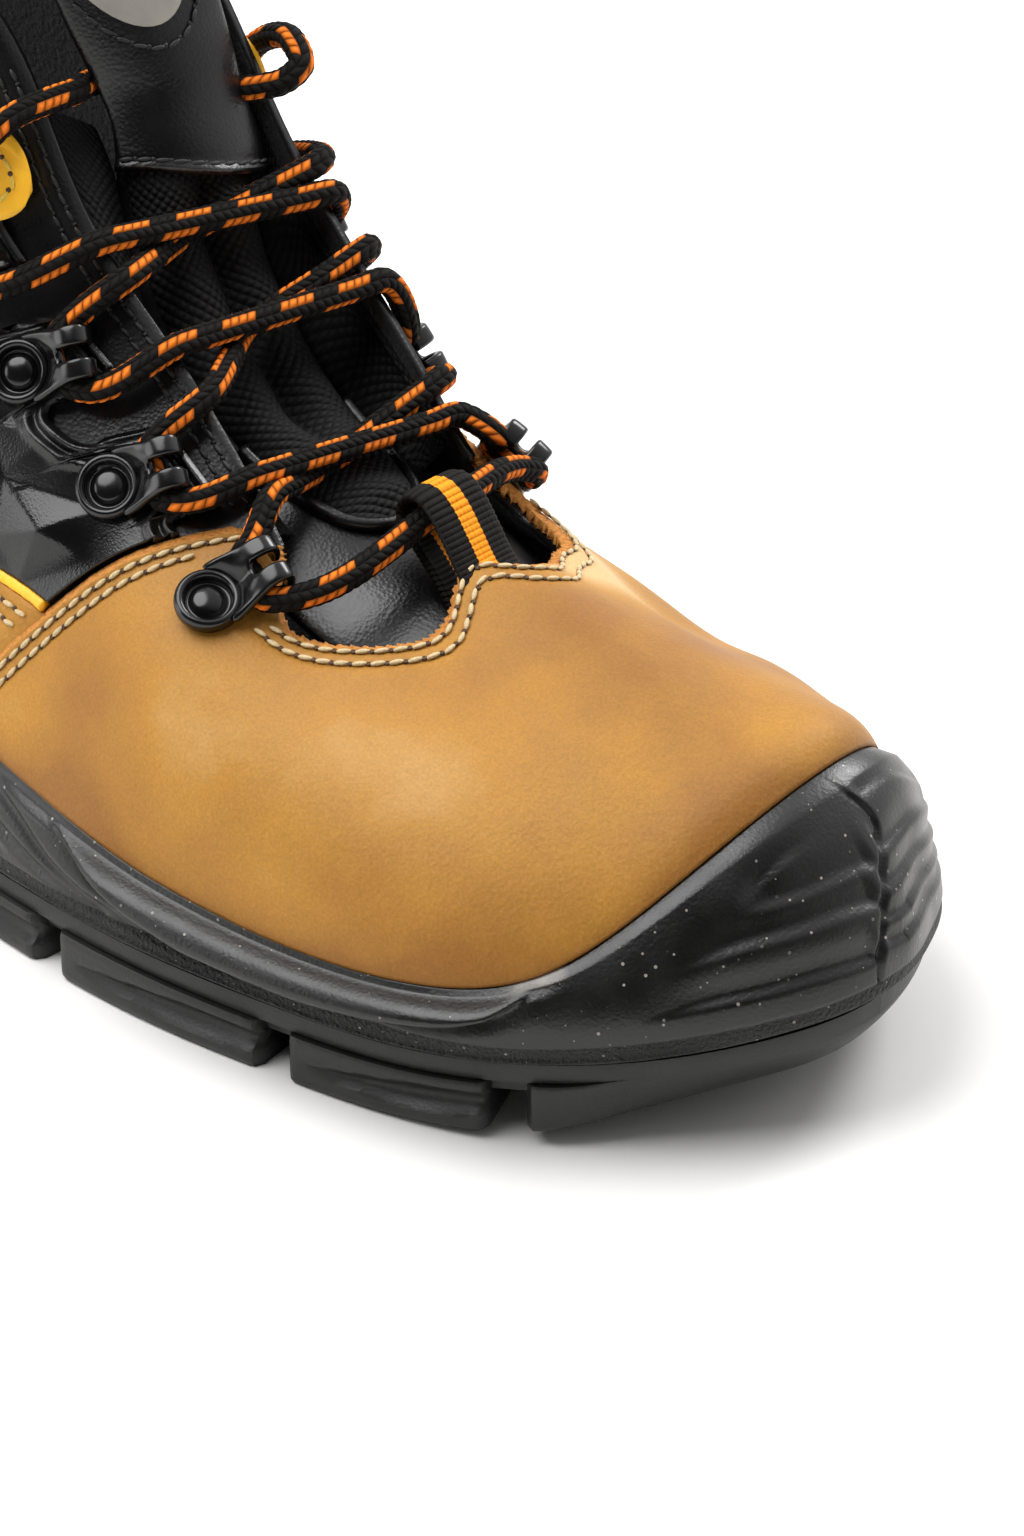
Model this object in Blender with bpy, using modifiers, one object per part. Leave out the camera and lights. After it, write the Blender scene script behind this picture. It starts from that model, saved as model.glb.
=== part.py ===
"""Ankle-high lace-up safety shoe for the right foot.

Frame: +X to the toe, +Y to the inner side of the foot, +Z up, floor at z = 0.
Sizes and tables are in millimetres, and MM turns them into metres.
"""

import math

import bmesh
import bpy
import numpy as np
from mathutils import Matrix, Vector

MM = 0.001
PROBE = 0.03

# Driving sizes
SOLE_LENGTH = 306.0
BALL_WIDTH = 113.0
BACK_HEIGHT = 163.0
TOE_SPRING = 9.0
SPRING_START = 75.0
ARCH_RISE = 8.0
GAP = 0.3
SEAM_GAP = 0.6
UPPER_WALL = 2.0
VAMP_THICKNESS = 1.8
QUARTER_THICKNESS = 1.4
COUNTER_THICKNESS = 1.6
PIPING_WIDTH = 2.0
PIPING_THICKNESS = 2.0
TAB_THICKNESS = 1.2
TONGUE_THICKNESS = 3.5
PATCH_THICKNESS = 1.5
INSOLE_THICKNESS = 4.0
OUTSOLE_HEIGHT = 13.5
LUG_HEIGHT = 9.6
LACE_DIAMETER = 5.0
WEBBING_WIDTH = 13.0
WEBBING_THICKNESS = 1.4

# The ribs of the shoe, drawn on a shoe of DRAWN length, ball width and back height. They run round from
# the toe along the outer side, the heel and the inner side. Each goes from the sole's edge in plan and the
# feather line, through the sole's lip, the panel line and the hook line, to the throat or collar edge.
DRAWN = (306.0, 113.0, 163.0)
RIB_COLUMNS = ("sole", "feather", "lip", "panel", "hooks", "top", "cuff", "bulge")
RIBS = {
    "toe_tip": ((153, 9), (144, 9, 24.5), (133.5, 9, 53.5), (121, 10, 58.5), (97, 11, 63.5),
                (60.5, 12, 70), 3.6, 7.5),
    "toe_outer": ((146.5, -12), (138, -13, 23.5), (129.7, -10.5, 46), (119, -5.5, 54), (97, -1, 60.5),
                  (63, 1, 65.5), 3.6, 5.5),
    "toe_side_outer": ((129, -31), (123, -29, 21), (119.5, -30.8, 33), (112, -23.5, 46.5), (93, -12.5, 57),
                       (62.5, -7, 63), 3.6, 3.5),
    "forefoot_outer": ((102, -45), (100, -41, 18.5), (101.5, -43.5, 27), (95, -37, 43.5), (80, -24, 55.5),
                       (55, -13.5, 62.5), 3.6, 2.0),
    "ball_outer": ((70, -51.5), (70, -46, 17), (70, -49, 25.5), (65, -44, 44), (55, -32.5, 56.5),
                   (45, -17, 63.5), 3.6, 1.6),
    "waist_outer": ((30, -54.5), (30, -48, 17), (30, -50.5, 28), (32, -43.5, 49), (34.5, -31.5, 62.5),
                    (39, -12.5, 69), 3.55, 1.6),
    "vamp_edge_outer": ((-20, -50), (-20, -45, 17), (-16, -47, 31), (3.5, -35.5, 57), (18, -24.5, 70.5),
                        (33, -9.5, 75), 3.5, 1.6),
    "quarter_outer": ((-48, -46), (-48, -42, 17.5), (-46, -43.5, 32), (-30, -36.5, 62.5), (-14, -28, 82),
                      (8, -6, 96), 3.65, 1.6),
    "instep_outer": ((-76, -44), (-76, -39, 18), (-75, -41, 33), (-66, -36, 67), (-50, -31.5, 98),
                     (-16, -7, 122), 3.75, 1.6),
    "collar_outer": ((-100, -42.5), (-100, -37, 18.5), (-100, -39, 34), (-93, -36.3, 69.5),
                     (-78, -33.5, 112), (-42, -11, 157), 3.6, 1.8),
    "ankle_outer": ((-127, -36.5), (-122, -32.5, 19), (-124, -34.5, 35), (-121.5, -33.3, 71),
                    (-113, -31.5, 114), (-86, -35, 158), 3.4, 2.0),
    "heel_outer": ((-146, -21), (-138, -20, 19.5), (-141.5, -21, 36), (-140.7, -21.5, 72),
                   (-134, -21.5, 115), (-122, -26, 161), 3.35, 2.4),
    "heel_back": ((-153, 0), (-144, 0, 20), (-148.3, 0, 36), (-148.7, 0, 72), (-142.5, 0, 115),
                  (-139, 0, 163), 3.35, 2.6),
    "heel_inner": ((-146, 21), (-138, 20, 19.5), (-141.5, 21, 36), (-140.7, 21.5, 72), (-134, 21.5, 115),
                   (-122, 26, 161), 3.35, 2.4),
    "ankle_inner": ((-127, 35.5), (-122, 31.5, 19), (-124, 33.5, 35), (-121.5, 33, 71), (-113, 32, 114),
                    (-86, 37, 158), 3.4, 2.0),
    "collar_inner": ((-100, 39), (-100, 33.5, 18.5), (-100, 36, 34), (-93, 36.3, 69.5), (-77, 37.5, 112),
                     (-34, 33, 159), 3.6, 1.8),
    "instep_inner": ((-76, 38.5), (-76, 32.5, 18), (-75, 35.5, 33), (-66, 38, 67.5), (-49, 40, 98),
                     (-8.5, 34.5, 127), 3.75, 1.6),
    "quarter_inner": ((-48, 39), (-48, 33, 18), (-46, 36.5, 32), (-30, 41, 63), (-13, 40.5, 81.5),
                      (12, 36, 100), 3.65, 1.6),
    "vamp_edge_inner": ((-20, 42), (-20, 35.5, 17.5), (-16, 39.5, 31), (3.5, 44.5, 57), (18, 42, 68),
                        (35, 35.5, 76), 3.5, 1.6),
    "waist_inner": ((30, 52), (30, 44, 17), (31, 47.5, 28), (33, 48.5, 49), (35, 43, 59.5),
                    (40, 37, 69), 3.55, 1.6),
    "ball_inner": ((68, 58.5), (68, 50.5, 17), (68, 53.5, 26), (65, 53, 44), (56, 45.5, 53.5),
                   (45, 38.5, 64.5), 3.6, 1.6),
    "forefoot_inner": ((99, 58), (98, 51, 18.5), (100, 53, 28), (95, 49, 44.5), (81, 39, 52.5),
                       (55, 35, 63.5), 3.6, 2.0),
    "toe_side_inner": ((126, 50), (121, 45, 21), (120.5, 44, 37.5), (112.5, 39, 49), (93.5, 32, 55),
                       (60, 28.5, 64), 3.6, 5.0),
    "toe_inner": ((144, 33), (137, 30.5, 23.5), (131.5, 28, 51.5), (120.5, 25.5, 57), (98, 21.5, 60.5),
                  (62.5, 21, 66.5), 3.6, 7.5),
}
RIB_NAMES = list(RIBS)
RIB_COUNT = len(RIBS)
LEVELS = ("feather", "lip", "panel", "hooks", "top")
FEATHER, LIP, PANEL, HOOK_LINE, TOP = range(len(LEVELS))
OUTER_EDGE = RIB_NAMES.index("vamp_edge_outer")
INNER_EDGE = RIB_NAMES.index("vamp_edge_inner")
HEEL = RIB_NAMES.index("heel_back")

# Columns of the mesh between neighbouring ribs: closer where the plan turns tightly
COLUMNS_TIGHT = 3
COLUMNS_EASY = 2
TIGHT_RIBS = [name for name in RIB_NAMES if name.startswith(("toe", "forefoot", "heel"))]
ROWS_UNDER_LIP = 2
ROWS_TO_PANEL = 3
ROWS_TO_CUFF = 3
ROWS_IN_CUFF = 2

# Outer wall of the midsole, from the outsole up to the lip: share of the height, share of the rib's bulge
WALL = [(0.0, -0.5), (0.07, 0.25), (0.2, 0.7), (0.34, 0.95), (0.48, 1.0), (0.62, 0.95), (0.76, 0.8),
        (0.88, 0.55), (0.96, 0.3)]
BUMPER_GROOVES = (0.34, 0.62)
GROOVE_DEPTH = 1.3
GROOVE_SPREAD = 0.045
BUMPER_HALF_SPAN = 2.6
BUMPER_FADE = 0.8
LIP_THICKNESS = 2.6
LIP_CLEAR = 0.9
LIP_CROWN_RISE = 0.5
LIP_CROWN_OUT = 1.7
LIP_GAP = 0.6
FLOOR_GAP = 1.0
BAND_INSET = 0.8

# Grooves across the outsole: middle, width, and height of the groove's roof
TREAD = [(114.0, 6.0, 7.0), (71.5, 6.0, 7.0), (20.0, 6.0, 7.0), (-45.0, 36.0, ARCH_RISE), (-101.0, 6.0, 7.0)]
GROOVE_WALL = 1.5
PLAIN_STATIONS = (146.0, 136.0, 126.0, 102.0, 88.0, 56.0, 38.0, 4.0, -12.0, -38.0, -52.0, -80.0, -120.0,
                  -134.0, -146.0)
TREAD_CUTS = (0.17, 0.20, 0.36, 0.39, 0.61, 0.64, 0.80, 0.83)
CHANNEL_CUTS = (1, 2, 5, 6)
CHANNEL_ROOF = 4.5
NOTCH_INSET = 2.6
LUG_INSET = -0.6
LUG_WAIST = 4.0
LUG_WAIST_INSET = -0.25
BAND_BOTTOM = 11.2
TREAD_EDGE_INSET = 0.6

# Tongue, from under the vamp to its free top: middle of the face, half width, drop of the sides, turn to the
# outer side in degrees
TONGUE_COLUMNS = ("x", "y", "z", "half_width", "drop", "turn")
TONGUE = [(80, 12, 57.0, 21, 7, 0), (62, 12.5, 62.5, 24, 9, 0), (46, 13, 67.0, 25, 9, 0),
          (33, 13, 72.5, 25, 9, 0), (20, 13, 79.0, 23, 10, 0), (7, 13.5, 90.0, 20, 10, 4),
          (-4, 14.5, 106.0, 16, 9, 13), (-10.5, 16, 121, 14.5, 7, 22), (-17, 13.5, 139, 15.5, 5, 26),
          (-24, 11, 156, 15.5, 4, 27), (-29, 9.5, 170, 12.5, 3, 27)]
TONGUE_ROWS = 20
TONGUE_ACROSS = (-1.0, -0.85, -0.45, 0.0, 0.45, 0.85, 1.0)
PATCH_ROWS = (14, 19)

# Lace hooks: place of the rivet and of the arm's end, as rib and level on the upper's own surface, then the
# ribs where the lace passes over the throat's edge on the hook's toe side and on its heel side
HOOK_COLUMNS = ("rivet_rib", "rivet_level", "arm_rib", "arm_level", "toe_pass", "heel_pass")
HOOKS = [(5.06, 3.26, 4.80, 3.92, 4.60, 6.10), (6.47, 3.19, 6.45, 3.70, 6.28, 6.87),
         (7.23, 3.39, 7.17, 3.71, 7.04, 7.54), (7.92, 3.33, 7.88, 3.61, 7.68, 8.10)]
INNER_HOOK_DROP = 0.08
HOOK_DISC_RADIUS = 6.2
HOOK_DISC_HEIGHT = 1.8
DISC_CHAMFER = 0.5
DISC_SIDES = 12
RIVET_RADIUS = 4.2
RIVET_TOP_RADIUS = 2.5
RIVET_HEIGHT = 1.1
RIVET_SINK = 0.3
RIVET_SIDES = 8
HOOK_WIDTH = 11.5
HOOK_SLOT_WIDTH = 3.6
HOOK_SLOT_START = 9.2
HOOK_SLOT_END = 20.0
HOOK_SLOT_TOP = 12.0
HOOK_PROFILE = [(3.2, 0.9), (5.6, 5.0), (8.2, 7.6), (13.6, 7.8), (16.0, 6.0), (16.2, 1.0), (14.6, 1.0),
                (14.4, 5.6), (13.4, 6.2), (8.8, 6.0), (7.2, 4.2), (6.2, 0.9)]
LACE_REACH = 10.7
LACE_LIFT = 3.2
LACE_CLEAR = 6.4
LACE_STRAIGHT = 4.2
LACE_RISE = 1.6
LACE_SPACING = 8.0
LACE_OFF_EDGE = 3.0
LACE_OVER_EDGE = 4.0

# Middles of the lace's bottom bar and of its crossings
BAR_MIDDLE = (52.0, 12.5, 75.5)
CROSSINGS = [(26.5, 13.0, 82.5), (10.5, 13.5, 97.0), (-3.6, 9.0, 113.0)]

# Free ends of the lace: rib, level and height over the upper, then points over the throat's edge and inside
END_OVER = [(8.12, 3.48, 7.6), (8.34, 3.76, 7.4)]
END_INSIDE = {-1: [(-22.5, -8.5, 139.5), (-16.5, -2.0, 138.5), (-19.5, 0.0, 131.5), (-25.5, 1.0, 123.0)],
              1: [(-18.0, 41.5, 139.5), (-9.0, 39.5, 139.0), (-3.0, 38.0, 134.5), (-4.5, 31.5, 130.0),
                  (-7.0, 28.0, 124.5)]}

# Webbing loop from the vamp's point over the lace's bar to the tongue: x and z of its underside
LOOP_PATH = [(66.5, 71.5), (62.5, 73.4), (57.5, 78.6), (51.0, 80.9), (45.2, 77.2), (42.8, 69.3)]

# Yellow tab: rib and level of its four corners, from the tip's lower corner round to the rear lower corner
TAB_CORNERS = [(7.90, 3.80), (8.24, 3.95), (8.78, 3.52), (8.45, 3.28)]
TAB_LIFT = QUARTER_THICKNESS + 5 * GAP
TAB_GRID = (6, 4)
TAB_TIP_CUT = 0.34
TAB_TIP_LENGTH = 0.3


def drawn(point):
    """A drawn point scaled to the driving sizes."""
    scale = (SOLE_LENGTH / DRAWN[0], BALL_WIDTH / DRAWN[1], BACK_HEIGHT / DRAWN[2])
    return [value * factor for value, factor in zip(point, scale)]


def column(name):
    """One column of the rib table, as an array with a row for each rib."""
    index = RIB_COLUMNS.index(name)
    values = [row[index] for row in RIBS.values()]
    if isinstance(values[0], tuple):
        return np.array([drawn(value) for value in values])
    return np.array(values, float)[:, None]


def closed_slopes(points):
    """Slopes of a smooth closed curve through the points, one for each of them."""
    count = len(points)
    ring = np.eye(count)
    system = 4.0 * ring + np.roll(ring, 1, 0) + np.roll(ring, -1, 0)
    steps = 3.0 * (np.roll(points, -1, 0) - np.roll(points, 1, 0))
    return np.linalg.solve(system, steps.reshape(count, -1)).reshape(points.shape)


def open_slopes(points):
    """Slopes of a smooth open curve through the points, free at both ends."""
    count = len(points)
    system = 4.0 * np.eye(count) + np.eye(count, k=1) + np.eye(count, k=-1)
    system[0, 0] = system[-1, -1] = 2.0
    steps = np.empty_like(points)
    steps[1:-1] = points[2:] - points[:-2]
    steps[0] = points[1] - points[0]
    steps[-1] = points[-1] - points[-2]
    return np.linalg.solve(system, 3.0 * steps.reshape(count, -1)).reshape(points.shape)


def along(points, slopes, place, closed=False):
    """A point of the smooth curve at a place counted in rows of its table."""
    count = len(points)
    first = int(math.floor(place))
    if not closed:
        first = min(max(first, 0), count - 2)
    u = place - first
    a, b = first % count, (first + 1) % count
    return ((2 * u**3 - 3 * u**2 + 1) * points[a] + (u**3 - 2 * u**2 + u) * slopes[a]
            + (3 * u**2 - 2 * u**3) * points[b] + (u**3 - u**2) * slopes[b])


NET = np.stack([column(level) for level in LEVELS], axis=1)
NET_SLOPES = closed_slopes(NET)
PLAN = column("sole")
PLAN_SLOPES = closed_slopes(PLAN)
CUFF = column("cuff")
CUFF_SLOPES = closed_slopes(CUFF)
BULGE = column("bulge")
BULGE_SLOPES = closed_slopes(BULGE)


def surface(rib, level):
    """Point of the upper's outer face."""
    levels = along(NET, NET_SLOPES, rib, closed=True)
    return along(levels, open_slopes(levels), level)


def normal(rib, level):
    """Outward direction of the upper's outer face."""
    low, high = max(level - PROBE, FEATHER), min(level + PROBE, TOP)
    up = surface(rib, high) - surface(rib, low)
    onward = surface(rib + PROBE, level) - surface(rib - PROBE, level)
    out = np.cross(up, onward)
    return out / np.linalg.norm(out)


def lifted(rib, level, height):
    """Point at a height above the upper's outer face."""
    return surface(rib, level) + normal(rib, level) * height


def plan(rib):
    """Point of the sole's outline, seen from above."""
    return along(PLAN, PLAN_SLOPES, rib, closed=True)


def plan_normal(rib):
    """Outward direction of the sole's outline, seen from above."""
    run = plan(rib + PROBE) - plan(rib - PROBE)
    out = np.array([-run[1], run[0]])
    return out / np.linalg.norm(out)


def cuff_level(rib):
    return float(along(CUFF, CUFF_SLOPES, rib, closed=True)[0])


def bulge(rib):
    return float(along(BULGE, BULGE_SLOPES, rib, closed=True)[0])


def spring(x):
    """Rise of the sole's underside towards the toe."""
    reach = max(x - SPRING_START, 0.0) / (SOLE_LENGTH / 2 - SPRING_START)
    return TOE_SPRING * reach**2


def mesh_columns():
    """Places of the mesh columns round the shoe, counted in ribs."""
    places = []
    for index, name in enumerate(RIB_NAMES):
        after = RIB_NAMES[(index + 1) % RIB_COUNT]
        count = COLUMNS_TIGHT if name in TIGHT_RIBS and after in TIGHT_RIBS else COLUMNS_EASY
        places.extend(index + step / count for step in range(count))
    return places


COLUMNS = mesh_columns()


def new_object(name, mesh, collection, material):
    """Object with its own material, linked into its collection."""
    obj = bpy.data.objects.new(name, mesh)
    if material:
        mesh.materials.append(material)
    collection.objects.link(obj)
    return obj


def mesh_from(bm, name):
    mesh = bpy.data.meshes.new(name)
    bmesh.ops.recalc_face_normals(bm, faces=bm.faces)
    bm.to_mesh(mesh)
    bm.free()
    return mesh


def principled(name, colour, roughness, metallic=0.0):
    """Plain material with the piece's colour."""
    material = bpy.data.materials.new(name)
    material.use_nodes = True
    shader = material.node_tree.nodes["Principled BSDF"]
    shader.inputs["Base Color"].default_value = (*colour, 1.0)
    shader.inputs["Roughness"].default_value = roughness
    shader.inputs["Metallic"].default_value = metallic
    return material


def mapped_grid(points):
    """Open sheet whose corner points are a table of rows, each a list of points in millimetres."""
    rows, cols = len(points), len(points[0])
    bm = bmesh.new()
    bmesh.ops.create_grid(bm, x_segments=rows - 1, y_segments=cols - 1, size=0.5)
    for vert in bm.verts:
        row = round((vert.co.x + 0.5) * (rows - 1))
        col = round((vert.co.y + 0.5) * (cols - 1))
        vert.co = Vector(points[row][col]) * MM
    return bm


def thicken(obj, thickness, outward):
    """Wall of a sheet, on its outer or its inner side."""
    solidify = obj.modifiers.new("wall", "SOLIDIFY")
    solidify.thickness = thickness * MM
    solidify.offset = 1.0 if outward else -1.0


def panel_columns(start, end):
    """Mesh columns from one rib to another, with the two ends."""
    inside = [place + turn for turn in (-RIB_COUNT, 0) for place in COLUMNS]
    return [start] + [place for place in inside if start + 0.1 < place < end - 0.1] + [end]


def shares(low, high, count):
    return [low + (high - low) * step / count for step in range(count + 1)]


def lip_to_top(rib):
    """Levels of the mesh rows above the sole's lip."""
    cuff = cuff_level(rib)
    return (shares(LIP, PANEL, ROWS_TO_PANEL) + shares(PANEL, cuff, ROWS_TO_CUFF)[1:]
            + shares(cuff, TOP, ROWS_IN_CUFF)[1:])


def build_upper(collection, material):
    """One hollow wall from the feather line to the throat and collar."""
    points = []
    for place in COLUMNS + [RIB_COUNT]:
        levels = shares(FEATHER, LIP, ROWS_UNDER_LIP) + lip_to_top(place)[1:]
        points.append([surface(place, level) for level in levels])
    bm = mapped_grid(list(zip(*points)))
    bmesh.ops.remove_doubles(bm, verts=bm.verts, dist=0.01 * MM)
    mesh = bpy.data.meshes.new("upper")
    bm.to_mesh(mesh)
    bm.free()
    obj = new_object("upper", mesh, collection, material)
    thicken(obj, UPPER_WALL, outward=False)


def build_panel(name, places, levels_at, lift, thickness, collection, material):
    """Overlay cut from the upper's own surface, lying over it."""
    points = [[lifted(place, level, lift) for level in levels_at(place)] for place in places]
    bm = mapped_grid(list(zip(*points)))
    mesh = bpy.data.meshes.new(name)
    bm.to_mesh(mesh)
    bm.free()
    obj = new_object(name, mesh, collection, material)
    thicken(obj, thickness, outward=True)


def level_step(rib, level, distance):
    """Change of level that runs a distance up the surface."""
    return distance * PROBE / np.linalg.norm(surface(rib, level + PROBE) - surface(rib, level))


def rib_step(rib, level, distance):
    """Change of rib that runs a distance round the surface."""
    return distance * PROBE / np.linalg.norm(surface(rib + PROBE, level) - surface(rib, level))


def build_overlays(collection, paint):
    """Vamp, counter panel, piping and quarters."""
    seam = rib_step(OUTER_EDGE, PANEL, SEAM_GAP)

    def vamp_levels(rib):
        levels = lip_to_top(rib)
        levels[0] += level_step(rib, LIP, LIP_CLEAR)
        return levels

    def counter_levels(rib):
        levels = shares(LIP, PANEL, ROWS_TO_PANEL)
        levels[0] += level_step(rib, LIP, LIP_CLEAR)
        levels[-1] -= level_step(rib, PANEL, GAP)
        return levels

    def piping_levels(rib):
        step = level_step(rib, PANEL, PIPING_WIDTH)
        return [PANEL, PANEL + step]

    def quarter_levels(rib):
        levels = shares(PANEL, cuff_level(rib), ROWS_TO_CUFF)
        levels[0] += level_step(rib, PANEL, PIPING_WIDTH + GAP)
        return levels

    vamp = panel_columns(INNER_EDGE - RIB_COUNT, OUTER_EDGE)
    rear = panel_columns(OUTER_EDGE + seam, INNER_EDGE - seam)
    outer = panel_columns(OUTER_EDGE + seam, HEEL - seam)
    inner = panel_columns(HEEL + seam, INNER_EDGE - seam)
    build_panel("vamp", vamp, vamp_levels, GAP, VAMP_THICKNESS, collection, paint["tan"])
    build_panel("counter_panel", rear, counter_levels, GAP, COUNTER_THICKNESS, collection, paint["tan"])
    build_panel("piping", rear, piping_levels, GAP, PIPING_THICKNESS, collection, paint["yellow"])
    build_panel("quarter_outer", outer, quarter_levels, GAP, QUARTER_THICKNESS, collection, paint["black"])
    build_panel("quarter_inner", inner, quarter_levels, GAP, QUARTER_THICKNESS, collection, paint["black"])


def ring_wall(bm, rings, closed_top, closed_bottom):
    """Closed wall through rings of points, with ladder faces across its two end rings."""
    count = len(rings[0])
    verts = [[bm.verts.new(Vector(point) * MM) for point in ring] for ring in rings]
    for low, high in zip(verts, verts[1:]):
        for index in range(count):
            after = (index + 1) % count
            bm.faces.new((low[index], high[index], high[after], low[after]))
    for ring, wanted in ((verts[0], closed_bottom), (verts[-1], closed_top)):
        if wanted:
            ladder(bm, ring)


def ladder(bm, ring):
    """Rungs between the two sides of a ring that starts at the toe."""
    count = len(ring)
    half = count // 2
    bm.faces.new((ring[0], ring[1], ring[-1]))
    for step in range(1, half - 1):
        bm.faces.new((ring[step], ring[step + 1], ring[count - step - 1], ring[count - step]))
    bm.faces.new((ring[half - 1], ring[half], ring[half + 1]))


def bumper_share(rib):
    """How far a rib lies within the toe bumper: one at the toe, none past its ends."""
    away = min(rib, RIB_COUNT - rib)
    return max(0.0, min(1.0, (BUMPER_HALF_SPAN - away) / BUMPER_FADE))


def wall_point(rib, height, share):
    """Point of the midsole's outer wall."""
    edge = plan(rib)
    out = np.append(plan_normal(rib), 0.0)
    bottom = np.array([*edge, OUTSOLE_HEIGHT + GAP + spring(edge[0])])
    top = lifted(rib, LIP, GAP + LIP_THICKNESS)
    groove = sum(math.exp(-((height - at) / GROOVE_SPREAD) ** 2) for at in BUMPER_GROOVES)
    depth = bulge(rib) * share - GROOVE_DEPTH * groove * bumper_share(rib)
    return bottom + (top - bottom) * height + out * depth


def build_midsole(collection, material):
    """Cup with a side wall, a rounded lip and the toe bumper."""
    rings = [[wall_point(rib, height, share) for rib in COLUMNS] for height, share in WALL]
    rings.append([lifted(rib, LIP + level_step(rib, LIP, LIP_CROWN_RISE), LIP_CROWN_OUT) for rib in COLUMNS])
    for level in reversed(shares(FEATHER, LIP, ROWS_UNDER_LIP)):
        rings.append([lifted(rib, level, LIP_GAP) for rib in COLUMNS])
    rings[-1] = [point - np.array([0.0, 0.0, FLOOR_GAP]) for point in rings[-1]]
    bm = bmesh.new()
    ring_wall(bm, rings, closed_top=True, closed_bottom=True)
    new_object("midsole", mesh_from(bm, "midsole"), collection, material)


def build_insole(collection, material):
    """Board on the midsole's floor, inside the upper."""
    inset = -(UPPER_WALL + 3 * GAP)
    seat = FLOOR_GAP - 2 * GAP
    floor = [(*lifted(rib, FEATHER, inset)[:2], surface(rib, FEATHER)[2] - seat) for rib in COLUMNS]
    top = [lifted(rib, FEATHER + level_step(rib, FEATHER, INSOLE_THICKNESS), inset - GAP) for rib in COLUMNS]
    bm = bmesh.new()
    ring_wall(bm, [floor, top], closed_top=True, closed_bottom=True)
    new_object("insole", mesh_from(bm, "insole"), collection, material)


def plan_side(side):
    """Tables of x and rib down one side of the sole, from the heel to the toe."""
    ribs = np.linspace(0.0, HEEL, 400)
    ribs = ribs if side < 0 else RIB_COUNT - ribs
    xs = np.array([plan(rib)[0] for rib in ribs])
    return xs[::-1], ribs[::-1]


def tread_stations():
    """Places along the sole, with the roof height of the groove there, or none on a lug."""
    stations = [(x, 0.0) for x in PLAIN_STATIONS]
    for middle, width, roof in TREAD:
        stations = [(x, roof if abs(x - middle) < width / 2 else z) for x, z in stations]
        for side in (1, -1):
            stations.append((middle + side * width / 2, roof))
            stations.append((middle + side * (width / 2 + GROOVE_WALL), 0.0))
    return sorted(stations, reverse=True)


def outsole_column(rib, roof):
    """Side of the outsole from its top edge to its tread edge."""
    edge = plan(rib)
    out = plan_normal(rib)
    rise = spring(edge[0])
    notch = roof > 0.0
    rows = [(BAND_INSET, OUTSOLE_HEIGHT), (BAND_INSET, BAND_BOTTOM),
            (NOTCH_INSET if notch else LUG_INSET, LUG_HEIGHT),
            (NOTCH_INSET if notch else LUG_WAIST_INSET, max(roof, LUG_WAIST)),
            (NOTCH_INSET if notch else TREAD_EDGE_INSET, roof)]
    return [(*(edge - out * inset), z + rise) for inset, z in rows]


def build_outsole(collection, material):
    """Lugged plate, with a channel down each half and grooves across."""
    stations = tread_stations()
    sides = {side: plan_side(side) for side in (-1, 1)}
    ribs = {side: [float(np.interp(x, *sides[side])) for x, _ in stations] for side in sides}
    toe = [(ribs[1][0] - RIB_COUNT) * 0.5, 0.0, ribs[-1][0] * 0.5]
    heel = [(ribs[-1][-1] + HEEL) / 2, HEEL, (ribs[1][-1] + HEEL) / 2]
    roofs = [roof for _, roof in stations]
    ring = ([(rib, 0.0) for rib in toe] + list(zip(ribs[-1], roofs)) + [(rib, 0.0) for rib in heel]
            + list(zip(ribs[1], roofs))[::-1])
    bm = bmesh.new()
    walls = [[bm.verts.new(Vector(point) * MM) for point in outsole_column(*place)] for place in ring]
    for near, far in zip(walls, walls[1:] + walls[:1]):
        for row in range(len(near) - 1):
            bm.faces.new((near[row], near[row + 1], far[row + 1], far[row]))
    first_outer = len(toe)
    last_outer = first_outer + len(stations) - 1
    first_inner = len(ring) - 1
    edges = [(walls[first_outer + k][-1], walls[first_inner - k][-1]) for k in range(len(stations))]
    tread = []
    for (x, roof), (outer, inner) in zip(stations, edges):
        end = x in (stations[0][0], stations[-1][0])
        row = [outer]
        for index, share in enumerate(TREAD_CUTS):
            point = outer.co.lerp(inner.co, share)
            channel = CHANNEL_ROOF if index in CHANNEL_CUTS and not end else 0.0
            point.z = (max(roof, channel) + spring(x)) * MM
            row.append(bm.verts.new(point))
        tread.append(row + [inner])
    for near, far in zip(tread, tread[1:]):
        for index in range(len(near) - 1):
            bm.faces.new((near[index], near[index + 1], far[index + 1], far[index]))
    toe_edge = [walls[index][-1] for index in range(len(toe))]
    heel_edge = [walls[last_outer + 1 + index][-1] for index in range(len(heel))]
    bm.faces.new(tread[0] + toe_edge)
    bm.faces.new(tread[-1] + heel_edge[::-1])
    top = [wall[0] for wall in walls]
    start = toe.index(0.0)
    ladder(bm, top[start:] + top[:start])
    new_object("outsole", mesh_from(bm, "outsole"), collection, material)


TONGUE_TABLE = np.array(TONGUE, float)
TONGUE_SLOPES = open_slopes(TONGUE_TABLE)


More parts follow.
